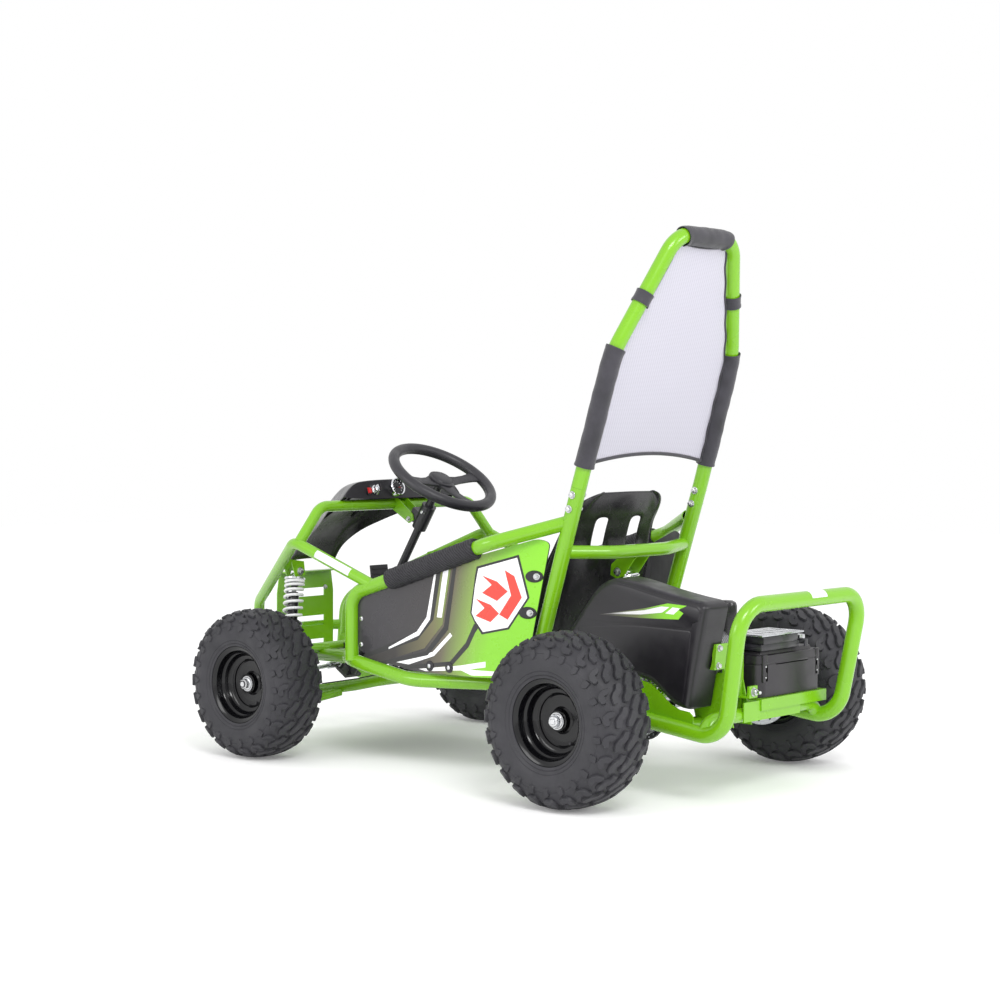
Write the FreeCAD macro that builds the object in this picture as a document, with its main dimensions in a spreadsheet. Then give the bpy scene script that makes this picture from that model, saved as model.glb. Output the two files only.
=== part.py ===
import FreeCAD, Part
import math
import os
import Sketcher
from FreeCAD import Placement, Rotation
from FreeCAD import Vector as V

# Kids electric go-kart.  Frame: +X forward, +Y to the driver's left, +Z up.
# Origin on the floor under the middle of the whole kart.  Millimetres.

doc = FreeCAD.newDocument("kart")
sheet = doc.addObject("Spreadsheet::Sheet", "sizes")
sheet.Label = "sizes"

# ---------------------------------------------------------------- sizes
# name, value, what it is
SIZES = (
    ("wheelbase", 897.0, "front axle to rear axle"),
    ("main_od", 32.0, "main frame tube, outside"),
    ("rail_od", 30.0, "side frame tube, outside"),
    ("arch_od", 25.0, "front arch and dash tube, outside"),
    ("bar_od", 28.0, "crossbar behind the seat and foot tube, outside"),
    ("cross_od", 22.0, "cross member tube, outside"),
    ("tube_wall", 2.0, "frame tube wall"),
    ("bend_main", 62.0, "centre-line bend radius of the main tube"),
    ("bend_tight", 45.0, "bend radius at the front corner of the side rail"),
    ("bend_wide", 170.0, "long bends"),
    ("front_tyre_od", 330.0, "front tyre over its tread"),
    ("front_tyre_w", 131.0, "front tyre over its sidewalls"),
    ("rear_tyre_od", 345.0, "rear tyre over its tread"),
    ("rear_tyre_w", 141.0, "rear tyre over its sidewalls"),
    ("front_track", 764.0, "between front tyre centre planes"),
    ("rear_track", 768.0, "between rear tyre centre planes"),
    ("front_axle_z", 165.0, "front axle height"),
    ("rear_axle_z", 172.5, "rear axle height"),
    ("bead_r", 77.0, "rim radius where the bead sits"),
    ("flange_r", 84.0, "rim flange radius"),
    ("rim_w", 112.0, "rim over its flanges"),
    ("rim_t", 2.5, "rim sheet"),
    ("hub_r", 26.0, "wheel hub radius"),
    ("bore_r", 8.5, "front wheel bore radius"),
    ("stub_r", 8.0, "front stub axle radius"),
    ("axle_r", 12.5, "live rear axle radius"),
    ("king_y", 290.0, "kingpin from the middle"),
    ("king_r", 11.0, "kingpin boss radius"),
    ("king_low", 120.0, "kingpin lower end"),
    ("arm_low", 103.0, "outer end of the lower arm, height"),
    ("king_high", 226.0, "kingpin upper end"),
    ("column_r", 9.5, "steering column radius"),
    ("column_tilt", 32.0, "steering column from upright, degrees"),
    ("wheel_x", 243.0, "steering wheel centre"),
    ("wheel_z", 619.0, "steering wheel centre height"),
    ("wheel_ring_r", 120.0, "steering wheel ring, centre line"),
    ("wheel_grip_r", 13.0, "steering wheel grip section"),
    ("pitman", 30.0, "pitman arm, column to ball"),
    ("panel_t", 3.0, "side panel sheet"),
    ("sleeve_r", 24.0, "foam sleeve on the side rail, outside"),
    ("hoop_sleeve_r", 20.0, "cloth sleeve on the roll bar, outside"),
    ("net_t", 3.0, "net with its hem"),
    ("disc_r", 80.0, "brake disc radius"),
    ("disc_y", 272.0, "brake disc from the middle"),
    ("disc_t", 4.0, "brake disc thickness"),
    ("sprocket_r", 62.0, "axle sprocket radius"),
    ("sprocket_y", 150.0, "chain line from the middle"),
    ("carrier_y", 200.0, "rear axle bearing carrier from the middle"),
    ("carrier_r", 38.0, "rear axle bearing carrier radius"),
    ("motor_r", 56.0, "motor can radius"),
    ("motor_len", 106.0, "motor can length"),
    ("motor_left", 130.0, "left face of the motor can"),
    ("motor_x", -560.0, "motor axis"),
    ("motor_z", 286.0, "motor axis height"),
    ("pinion_r", 20.0, "motor sprocket radius"),
    ("battery_x", -650.0, "battery case rear face"),
    ("battery_y", -201.0, "battery case right face"),
    ("battery_l", 140.0, "battery case along the kart"),
    ("battery_w", 220.0, "battery case across"),
    ("battery_h", 92.0, "battery case height"),
    ("battery_z", 196.0, "battery case underside"),
    ("tray_t", 3.0, "battery tray sheet"),
    ("tray_lip", 23.0, "battery tray lip, hanging down"),
    ("floor_t", 2.5, "floor pan sheet"),
    ("seat_t", 6.0, "seat shell wall"),
    ("seat_half", 180.0, "half width of the seat"),
    ("seat_top_half", 80.0, "half width of the level top of the seat back"),
    ("cowl_t", 3.0, "dash cowl sheet"),
    ("spring_r", 24.0, "shock spring, outside radius"),
    ("spring_wire", 7.0, "shock spring wire"),
    ("damper_r", 12.0, "shock damper body radius"),
    ("rod_r", 5.0, "tie rod radius"),
)

# ---------------------------------------------------------------- places
# name, x, y, z of points on tube centre lines, left side
PLACES = (
    ("hoop_foot", -204, 205, 200),
    ("hoop_joint", -332, 208, 614),
    ("roll_shoulder", -414, 203, 885),
    ("roll_corner", -491, 95, 1124),
    ("crossbar_end", -289, 207, 481),
    ("crossbar_mid", -328, 90, 477),
    ("rail_rear", -300, 207, 541),
    ("rail_bend", -170, 300, 497),
    ("rail_front", 230, 300, 371),
    ("side_corner", 230, 300, 226),
    ("side_low", 50, 300, 198),
    ("side_in", -122, 240, 201),
    ("fore_in", 300, 236, 222),
    ("fore_mid", 474, 200, 214),
    ("fore_nose", 700, 124, 206),
    ("arch_foot", 158, 300, 390),
    ("arch_top", 395, 318, 478),
    ("nose_bend", 712, 145, 308),
    ("nose_low", 702, 122, 168),
    ("low_nose", 640, 116, 126),
    ("low_front", 476, 160, 125),
    ("low_mid", 363, 160, 146),
    ("low_rear", 214, 160, 180),
    ("low_end", -204, 150, 190),
    ("dash_foot", 383, 315, 475),
    ("dash_bend", 388, 245, 554),
    ("bumper_end", 712, 134, 240),
    ("bumper_mid", 739.7, 84, 240),
    ("swing_pivot", -238, 170, 182),
    ("swing_axle", -440, 200, 172),
    ("loop_start", -478, 198, 160),
    ("loop_low", -690, 200, 136),
    ("loop_top", -736.2, 214, 399),
    ("swing_front", -300, 179, 178.5),
    ("swing_shock", -362, 188, 177),
    ("swing_mid", -560, 199, 150.7),
    ("swing_cross", -640, 176, 168),
    ("swing_cross_end", -640, 199, 145),
)

# cross tubes under the floor: name, x, half length, height
FLOOR_TUBES = (
    ("front", 476, 160, 126.8),
    ("knee", 214, 160, 181.5),
    ("hip", 20, 160, 186.1),
    ("column", 564, 172, 211),
)

row = 1
for name, value, note in SIZES:
    sheet.set("A%d" % row, name)
    sheet.set("B%d" % row, "%g" % value)
    sheet.setAlias("B%d" % row, name)
    sheet.set("C%d" % row, note)
    row += 1
for name, x, y, z in PLACES:
    for column, suffix, value in (("B", "_x", x), ("C", "_y", y), ("D", "_z", z)):
        sheet.set("%s%d" % (column, row), "%g" % value)
        sheet.setAlias("%s%d" % (column, row), name + suffix)
    sheet.set("A%d" % row, name)
    row += 1
doc.recompute()


class Size:
    """A number that remembers the cell or sum of cells it came from."""

    def __init__(self, value, text):
        self.value, self.text = float(value), text

    @staticmethod
    def of(other):
        return other if isinstance(other, Size) else Size(other, "%g" % other)

    def _join(self, other, sign, value):
        return Size(value, "(%s %s %s)" % (self.text, sign, Size.of(other).text))

    def __add__(self, other):
        return self._join(other, "+", self.value + Size.of(other).value)

    def __sub__(self, other):
        return self._join(other, "-", self.value - Size.of(other).value)

    def __mul__(self, other):
        return self._join(other, "*", self.value * Size.of(other).value)

    def __truediv__(self, other):
        return self._join(other, "/", self.value / Size.of(other).value)

    def __neg__(self):
        return Size(-self.value, "(0 - %s)" % self.text)

    def __float__(self):
        return self.value


def q(name):
    """A driving size from the sheet."""
    return Size(float(sheet.get(name)), "sizes." + name)


def f(name):
    return float(sheet.get(name))


def at(name, side=1):
    """A named place, on the left (side 1) or mirrored to the right (-1)."""
    return V(f(name + "_x"), side * f(name + "_y"), f(name + "_z"))


def bind(obj, prop, size):
    size = Size.of(size)
    if size.text.startswith("sizes.") or "sizes." in size.text:
        obj.setExpression(prop, size.text)
    else:
        setattr(obj, prop, size.value)


nodes = {}


def node(obj, label):
    obj.Label = label
    nodes[label] = obj
    return obj


def feature(label, shape, place=None):
    obj = doc.addObject("Part::Feature", label)
    obj.Shape = shape
    if place is not None:
        obj.Placement = place
    return node(obj, label)


# ---------------------------------------------------------------- sketch bodies
def plane_of(body, role):
    for item in body.Origin.OriginFeatures:
        if item.Role == role:
            return item
    raise ValueError(role)


def sketch_on(body, role, name, offset=0.0):
    sk = body.newObject("Sketcher::SketchObject", name)
    sk.AttachmentSupport = (plane_of(body, role), [""])
    sk.MapMode = "FlatFace"
    if offset:
        sk.AttachmentOffset = Placement(V(0, 0, offset), Rotation())
    return sk


def outline(sk, points):
    """Closed polygon; every corner is held by two distances bound to the sheet."""
    pts = [(Size.of(a), Size.of(b)) for a, b in points]
    first = sk.GeometryCount
    count = len(pts)
    for i in range(count):
        a, b = pts[i], pts[(i + 1) % count]
        sk.addGeometry(Part.LineSegment(V(a[0].value, a[1].value, 0), V(b[0].value, b[1].value, 0)), False)
    for i in range(count):
        sk.addConstraint(Sketcher.Constraint("Coincident", first + i, 2, first + (i + 1) % count, 1))
    for i, (a, b) in enumerate(pts):
        for kind, size in (("DistanceX", a), ("DistanceY", b)):
            k = sk.addConstraint(Sketcher.Constraint(kind, -1, 1, first + i, 1, size.value))
            if "sizes." in size.text:
                sk.setExpression("Constraints[%d]" % k, size.text)


def ring(sk, x, y, r):
    x, y, r = Size.of(x), Size.of(y), Size.of(r)
    g = sk.addGeometry(Part.Circle(V(x.value, y.value, 0), V(0, 0, 1), r.value), False)
    for kind, size in (("DistanceX", x), ("DistanceY", y)):
        k = sk.addConstraint(Sketcher.Constraint(kind, -1, 1, g, 3, size.value))
        if "sizes." in size.text:
            sk.setExpression("Constraints[%d]" % k, size.text)
    k = sk.addConstraint(Sketcher.Constraint("Radius", g, r.value))
    if "sizes." in r.text:
        sk.setExpression("Constraints[%d]" % k, r.text)


def body_of(label):
    return doc.addObject("PartDesign::Body", label)


def pad(label, role, loops, length, middle=False, back=False, place=None, circles=()):
    body = body_of(label)
    sk = sketch_on(body, role, label + "_outline")
    for loop in loops:
        outline(sk, loop)
    for x, y, r in circles:
        ring(sk, x, y, r)
    p = body.newObject("PartDesign::Pad", label + "_pad")
    p.Profile = sk
    bind(p, "Length", length)
    p.Midplane = middle
    p.Reversed = back
    if place is not None:
        body.Placement = place
    return body


def lathe(label, profile, place=None, angle=360.0):
    """Revolve a profile of (radius, along) about the Y axis."""
    body = body_of(label)
    sk = sketch_on(body, "XY_Plane", label + "_section")
    outline(sk, profile)
    r = body.newObject("PartDesign::Revolution", label + "_turn")
    r.Profile = sk
    r.ReferenceAxis = (sk, ["V_Axis"])
    r.Angle = angle
    if place is not None:
        body.Placement = place
    return body


def mirrored(label, obj):
    """The piece and its twin on the other side, as one node."""
    twin = doc.addObject("Part::Mirroring", label + "_twin")
    twin.Source = obj
    twin.Base = V(0, 0, 0)
    twin.Normal = V(0, 1, 0)
    both = doc.addObject("Part::Compound", label + "_pair")
    both.Links = [obj, twin]
    return both


def joined(label, objs):
    fuse = doc.addObject("Part::MultiFuse", label + "_joined")
    fuse.Shapes = list(objs)
    return fuse


def grouped(label, objs):
    comp = doc.addObject("Part::Compound", label + "_group")
    comp.Links = list(objs)
    return comp


def less(label, base, tool):
    cut = doc.addObject("Part::Cut", label + "_cut")
    cut.Base = base
    cut.Tool = tool
    return cut


def box(name, low, size):
    """Part::Box from its low corner and its three sizes, each bound where it is a cell."""
    b = doc.addObject("Part::Box", name)
    for prop, value in zip(("Length", "Width", "Height"), size):
        bind(b, prop, value)
    low = [Size.of(v) for v in low]
    b.Placement = Placement(V(*[v.value for v in low]), Rotation())
    for axis, v in zip("xyz", low):
        if "sizes." in v.text:
            b.setExpression("Placement.Base." + axis, v.text)
    return b


def rod(name, start, direction, length, radius):
    c = doc.addObject("Part::Cylinder", name)
    bind(c, "Height", length)
    bind(c, "Radius", radius)
    c.Placement = Placement(V(*start), Rotation(V(0, 0, 1), V(*direction)))
    return c


# ---------------------------------------------------------------- bent tubes
def route(points, radius):
    """Straight runs joined by tangent arcs."""
    edges, start = [], points[0]
    for i in range(1, len(points) - 1):
        a, b, c = points[i - 1], points[i], points[i + 1]
        u, v = (a - b), (c - b)
        room = 0.47 * min(u.Length, v.Length)
        u.normalize()
        v.normalize()
        half = u.getAngle(v) / 2.0
        if half > math.radians(89.5):
            continue
        want = radius[i - 1] if isinstance(radius, (list, tuple)) else radius
        reach = min(want / math.tan(half), room)
        r = reach * math.tan(half)
        bis = u + v
        bis.normalize()
        centre = b + bis * (r / math.sin(half))
        p1, p2, mid = b + u * reach, b + v * reach, centre - bis * r
        if (p1 - start).Length > 0.01:
            edges.append(Part.LineSegment(start, p1).toShape())
        edges.append(Part.Arc(p1, mid, p2).toShape())
        start = p2
    if (points[-1] - start).Length > 0.01:
        edges.append(Part.LineSegment(start, points[-1]).toShape())
    return Part.Wire(edges)


def bar(points, radius, od):
    """Solid round bar along a route."""
    path = route(points, radius)
    first = path.Edges[0]
    p0 = first.valueAt(first.FirstParameter)
    d0 = first.tangentAt(first.FirstParameter)
    section = Part.Wire([Part.Circle(p0, d0, od / 2.0).toShape()])
    solid = path.makePipeShell([section], True, False)
    if solid.Volume < 0:
        solid.reverse()
    want = math.pi * od * od / 4.0 * path.Length
    if abs(solid.Volume / want - 1.0) > 0.02:
        raise RuntimeError("bar volume %.3f of %.3f" % (solid.Volume, want))
    return solid


def mirror_y(shape):
    return shape.mirror(V(0, 0, 0), V(0, 1, 0))


def fuse_all(shapes):
    out = shapes[0]
    if len(shapes) > 1:
        out = out.multiFuse(shapes[1:])
    return out


# outer solids of the frame made so far, so that a later tube is coped to them
welded = []


def frame_node(label, runs, sides=True, extra=(), cope=True, near=()):
    """One welded frame piece.
    runs: (points, bend, od) ; sides: make the mirrored twin too ; extra: solid brackets"""
    outers, inners = [], []
    for points, bend, od in runs:
        outers.append(bar(points, bend, od))
        inners.append(bar(points, bend, od - 2.0 * f("tube_wall")))
    if sides:
        outers += [mirror_y(s) for s in outers]
        inners += [mirror_y(s) for s in inners]
    skin = fuse_all(outers)
    shape = fuse_all(outers + list(extra)) if extra else skin
    hollow = shape.cut(inners)
    if cope and welded:
        hollow = hollow.cut(welded)
    solids = [s for s in hollow.Solids if s.Volume > 400.0]
    shape = Part.makeCompound(solids) if len(solids) > 1 else solids[0]
    welded.append(fuse_all(outers + list(extra)) if extra else skin)
    print("frame", label, "solids", len(solids), "volume", round(shape.Volume))
    return feature(label, shape)


M, R, A, H, C = f("main_od"), f("rail_od"), f("arch_od"), f("bar_od"), f("cross_od")
B, T, W = f("bend_main"), f("bend_tight"), f("bend_wide")


def prism(profile, axis, low, high):
    """Polygon extruded along an axis; profile is in the other two axes, in order."""
    if axis == "y":
        pts = [V(a, low, b) for a, b in profile]
        d = V(0, high - low, 0)
    elif axis == "x":
        pts = [V(low, a, b) for a, b in profile]
        d = V(high - low, 0, 0)
    else:
        pts = [V(a, b, low) for a, b in profile]
        d = V(0, 0, high - low)
    face = Part.Face(Part.makePolygon(pts + [pts[0]]))
    solid = face.extrude(d)
    if solid.Volume < 0:
        solid.reverse()
    return solid


# ---------------------------------------------------------------- main hoop
# two raked uprights, the bowed crossbar behind the seat and the tube between the feet
SHOCK_TOP, SHOCK_LOW = V(-287, 0, 431), V(-398, 0, 222)
clevis = []
for y in (-24.0, 20.0):
    ear = prism([(-342, 474), (-318, 486), (-270, 446), (-268, 424), (-284, 416), (-302, 422)], "y", y, y + 4.0)
    clevis.append(ear.cut(Part.makeCylinder(4.3, 80, V(SHOCK_TOP.x, -40, SHOCK_TOP.z), V(0, 1, 0))))
# pivot plates of the rear swing frame, two a side on the tube between the feet
for y in (144.0, 192.0, -148.0, -196.0):
    clevis.append(prism([(-204, 186), (-192, 198), (-204, 212), (-246, 198), (-254, 184), (-240, 168)], "y", y, y + 4.0))
frame_node("main_hoop", (
    ([at("hoop_foot"), at("hoop_joint")], B, M),
    ([at("crossbar_end"), at("crossbar_mid"), at("crossbar_mid", -1), at("crossbar_end", -1)], W, H),
    ([at("hoop_foot"), at("hoop_foot", -1)], B, H),
), extra=clevis)

# upper roll bar, bolted on the uprights
joint_cut = []
frame_node("roll_bar", (
    ([at("hoop_joint"), at("roll_shoulder"), at("roll_corner"), at("roll_corner", -1),
      at("roll_shoulder", -1), at("hoop_joint", -1)], [W, B, B, W], M),
), sides=False)

# side frames: upper rail with its front drop, and the low tube that runs on to the nose
frame_node("side_frames", (
    ([at("hoop_foot"), at("side_in"), at("side_low"), at("side_corner"), at("fore_in"),
      at("fore_mid"), at("fore_nose")], [W, W, W, T, W], R),
    ([at("rail_rear"), at("rail_bend"), at("rail_front"), at("side_corner")], [B, T], R),
))

# front arches: from the rail up, over and down to the nose, then back under as the low rail
frame_node("front_arches", (
    ([at("arch_foot"), at("arch_top"), at("nose_bend"), at("nose_low"),
      at("low_nose"), at("low_front"), at("low_mid"), at("low_rear"), at("low_end")],
     [T, B, B, B, W, W, W], A),
))

# dash hoop across the arches, with the two plates that hold the column support
dash_plates = []
for y in (14.0, -17.0):
    dash_plates.append(prism([(396, 566), (374, 570), (322, 532), (320, 518), (334, 511), (392, 545)], "y", y, y + 3.0))
frame_node("dash_hoop", (
    ([at("dash_foot"), at("dash_bend"), at("dash_bend", -1), at("dash_foot", -1)], T, A),
), sides=False, extra=dash_plates)

# cross members between the low rails, nose bumper bar
frame_node("cross_members", tuple(([V(x, y, z), V(x, -y, z)], B, C) for n, x, y, z in FLOOR_TUBES), sides=False)

frame_node("nose_bumper", (
    ([at("bumper_end"), at("bumper_mid"), at("bumper_mid", -1), at("bumper_end", -1)], T, A),
), sides=False)

# ---------------------------------------------------------------- floor pan
# underside of the sheet (x, z): it lies on the low rails and the floor tubes
pan_line = [(-186, 202.4), (214, 192.8), (363, 159.0), (476, 138.0)]
body = pad("floor_sheet", "XZ_Plane",
           [[(x, Size.of(z)) for x, z in pan_line] +
            [(x, Size.of(z) + q("floor_t")) for x, z in reversed(pan_line)]],
           Size.of(2 * 157.0), middle=True)
node(body, "floor_pan")

# ---------------------------------------------------------------- nose plate
plate_slots = [
    [(-62, 318), (62, 318), (62, 338), (-62, 338)],
    [(-62, 256), (62, 256), (62, 270), (-62, 270)],
    [(-62, 246), (62, 246), (62, 250), (-62, 250)],
    [(-62, 200), (62, 200), (62, 212), (-62, 212)],
]
body = pad("nose_sheet", "YZ_Plane",
           [[(-92, 182), (92, 182), (92, 330), (84, 382), (-84, 382), (-92, 330)]] + plate_slots,
           Size.of(3.0), place=Placement(V(700, 0, 0), Rotation()))
flange = box("nose_flange", (676, -84, 379.5), (24.5, 168, 3))
node(joined("nose_plate", [body, flange]), "nose_plate")

# ---------------------------------------------------------------- dash cowl
# sections of (x, half width at the foot, half width at the top, foot height, top height)
COWL = (
    (366, 196, 138, 572, 614),
    (438, 160, 118, 551, 604),
    (513, 119, 92, 520, 565),
    (588, 78, 66, 482, 524),
    (640, 68, 58, 446, 480),
    (694, 82, 66, 386, 412),
)


def cowl_wire(x, foot, top, foot_z, top_z, inset):
    pts = [V(x, foot - inset, foot_z), V(x, top - inset * 0.6, top_z - inset),
           V(x, -(top - inset * 0.6), top_z - inset), V(x, -(foot - inset), foot_z)]
    return Part.makePolygon(pts + [pts[0]])


def cowl_shell():
    t = f("cowl_t")
    outer = Part.makeLoft([cowl_wire(*s, 0.0) for s in COWL], True, True)
    inner = Part.makeLoft([cowl_wire(s[0], s[1], s[2], s[3] - 0.5, s[4], t) for s in
                           ((COWL[0][0] - 1.0,) + COWL[0][1:],) + COWL[1:-1] + ((COWL[-1][0] + 1.0,) + COWL[-1][1:],)],
                          True, True)
    return outer.cut(inner)


shell = cowl_shell()
panel = prism([(196, 572), (138, 614), (-138, 614), (-196, 572)], "x", 366.0, 369.0)
cowl = shell.fuse(panel)
cowl = cowl.cut(welded)
cowl = [s for s in cowl.Solids if s.Volume > 2000]
feature("dash_cowl", cowl[0] if len(cowl) == 1 else Part.makeCompound(cowl))
print("cowl solids", len(cowl))

# gauge and key switch on the dash panel
# name, y, z, length, radius
GAUGES = (("gauge", 30, 592, 16, 21), ("key", 93, 590, 20, 9), ("button", 115, 588, 10, 7))
cans = []
for n, y, z, length, radius in GAUGES:
    can = rod(n + "_can", (370, y, z), (-1, 0, 0.35), length + 4, radius)
    cans.append(less(n, can, box(n + "_trim", (366, y - 30, 550), (40, 60, 80))))
node(grouped("dash_gauges", cans), "dash_gauges")

# ---------------------------------------------------------------- steering column support
tilt = math.radians(f("column_tilt"))
axis_dir = V(-math.sin(tilt), 0, math.cos(tilt))
wheel_c = V(f("wheel_x"), 0, f("wheel_z"))


def on_column(z):
    return wheel_c + axis_dir * ((z - wheel_c.z) / axis_dir.z)


side_dir = V(math.cos(tilt), 0, math.sin(tilt))
p = on_column(500)
block = Part.makeCylinder(17.0, 62.0, p, axis_dir)
lug = Part.makeBox(34, 27.6, 30, V(-4, -13.8, 0))
lug.Placement = Placement(p + axis_dir * 8, Rotation(V(0, 1, 0), -f("column_tilt")))
support = block.fuse(lug)
support = support.cut(Part.makeCylinder(f("column_r") + 0.6, 200.0, p - axis_dir * 60, axis_dir))
support = support.cut(welded)
solids = sorted(support.Solids, key=lambda s: -s.Volume)
feature("column_support", solids[0])
# foot bearing of the column, carried back from the cross tube between the fore tubes
p = on_column(194)
foot = Part.makeCylinder(16.0, 26.0, p, axis_dir)
web = prism([(500, 202), (562, 205), (562, 217), (500, 217)], "y", -13.0, 13.0)
foot = foot.fuse(web)
foot = foot.cut(Part.makeCylinder(f("column_r") + 0.6, 200.0, p - axis_dir * 80, axis_dir))
foot = foot.cut(welded)
solids = sorted(foot.Solids, key=lambda s: -s.Volume)
feature("column_bearing", solids[0])

# ---------------------------------------------------------------- steering wheel and column
grip = Part.makeTorus(f("wheel_ring_r"), f("wheel_grip_r"), V(0, 0, 0), V(0, 0, 1))
hub = Part.makeCylinder(30.0, 22.0, V(0, 0, -20))
spokes = []
# spoke angle from straight ahead
for angle in (90.0, 270.0, 180.0):
    arm = Part.makeBox(104.0, 26.0, 9.0, V(12, -13, -12))
    arm.rotate(V(0, 0, 0), V(0, 0, 1), angle)
    spokes.append(arm)
wheel = grip.fuse(spokes + [hub])
wheel.Placement = Placement(wheel_c, Rotation(V(0, 1, 0), -f("column_tilt")))
bore = Part.makeCylinder(f("column_r"), 60.0, wheel_c - axis_dir * 55, axis_dir)
wheel = wheel.cut(bore)
feature("steering_wheel", wheel)

p_low = on_column(146)
column_len = (wheel_c - p_low).Length - 2.0
column = Part.makeCylinder(f("column_r"), column_len, p_low, axis_dir)
ball_c = p_low + side_dir * f("pitman")
arm = Part.makeBox(46, 50, 8, V(-8, -25, -8))
arm.Placement = Placement(p_low, Rotation(V(0, 1, 0), -f("column_tilt")))
column = column.fuse(arm)
feature("steering_column", column.removeSplitter())

# ---------------------------------------------------------------- wheels
HALF = Size(0.5, "0.5")


def tyre_profile(od, width, rim):
    """Section of the casing as (radius, along): tread, shoulders, sidewalls, beads inside the rim
    flanges, open inside; rim is the rim's width over its flanges."""
    r, w, b = od * 0.5, width * 0.5, rim * 0.5
    bead, over = q("bead_r") + 0.4, q("flange_r") + 0.9
    half = [
        (r, w - 34), (r - 4, w - 16), (r - 14, w - 4), (r * 0.74, w), (over + 6, w - 5), (over, b + 1.5),
        (over, b - 3.2), (bead, b - 6.2), (bead, b - 16), (over + 5, b - 12), (r * 0.72, w - 9),
        (r - 18, w - 16), (r - 14, w - 34),
    ]
    return half + [(a, -c) for a, c in reversed(half)]


def rim_profile(width, bore):
    """Rim: flanges, bead seats, drop centre, and a dished disc with its hub, outer side at +along."""
    w = width * 0.5
    t = q("rim_t")
    return [
        (bore, -38), (q("hub_r") - 6, -38), (q("hub_r") - 6, 8), (q("hub_r") + 4, 12), (q("flange_r") - 22, 18),
        (q("bead_r") - 11, 14), (q("bead_r") - 11, -(w - 34)), (q("bead_r") - t, -(w - 22)),
        (q("bead_r") - t, -(w - t)), (q("flange_r"), -w), (q("flange_r"), -(w - t)),
        (q("bead_r"), -(w - t * 2)), (q("bead_r"), -(w - 24)), (q("bead_r") - 7, -(w - 32)),
        (q("bead_r") - 7, w - 32), (q("bead_r"), w - 24), (q("bead_r"), w - t * 2),
        (q("flange_r"), w - t), (q("flange_r"), w), (q("bead_r") - t, w - t), (q("bead_r") - t, w - 22),
        (q("bead_r") - 11, w - 34), (q("flange_r") - 22, 22), (q("hub_r") + 2, 16), (q("hub_r") - 4, 26), (bore, 26),
    ]


FRONT_X, REAR_X = f("wheelbase") / 2.0, -f("wheelbase") / 2.0
OUT_LEFT = Rotation()
OUT_RIGHT = Rotation(V(0, 0, 1), 180)
# side word, sign, turn that points the dish outwards
SIDES = (("left", 1, OUT_LEFT), ("right", -1, OUT_RIGHT))
for word, s, turn in SIDES:
    place = Placement(V(FRONT_X, s * f("front_track") / 2.0, f("front_axle_z")), turn)
    node(lathe("front_tyre_" + word, tyre_profile(q("front_tyre_od"), q("front_tyre_w"), q("rim_w")), place),
         "front_tyre_" + word)
    node(lathe("front_rim_" + word, rim_profile(q("rim_w"), q("bore_r")), place), "front_rim_" + word)

rear = []
for word, s, turn in SIDES:
    place = Placement(V(REAR_X, s * f("rear_track") / 2.0, f("rear_axle_z")), turn)
    rear.append((lathe("rear_tyre_" + word, tyre_profile(q("rear_tyre_od"), q("rear_tyre_w"), q("rim_w") + 8), place),
                 lathe("rear_rim_" + word, rim_profile(q("rim_w") + 8, q("axle_r")), place)))
node(grouped("rear_tyres", [r[0] for r in rear]), "rear_tyres")
node(grouped("rear_rims", [r[1] for r in rear]), "rear_rims")

# ---------------------------------------------------------------- rear axle, disc, sprocket
axle_half = f("rear_track") / 2.0 + 36.0
axle = doc.addObject("Part::Cylinder", "axle_bar")
bind(axle, "Radius", q("axle_r"))
bind(axle, "Height", q("rear_track") + 72)
axle.Placement = Placement(V(REAR_X, axle_half, f("rear_axle_z")), Rotation(V(1, 0, 0), 90))
node(axle, "rear_axle")


def disc_profile(radius, thick, bore, hub, hub_len):
    return [(bore, 0), (radius, 0), (radius, thick), (hub, thick), (hub, hub_len), (bore, hub_len)]


disc = lathe("disc_plate", disc_profile(q("disc_r"), q("disc_t"), q("axle_r"), 24, 26),
             Placement(V(REAR_X, -f("disc_y"), f("rear_axle_z")), Rotation()))
node(disc, "brake_disc")
sprocket = lathe("sprocket_plate", disc_profile(q("sprocket_r"), Size.of(5), q("axle_r"), 24, 22),
                 Placement(V(REAR_X, f("sprocket_y") + 2.5, f("rear_axle_z")), OUT_RIGHT))
node(sprocket, "axle_sprocket")

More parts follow.
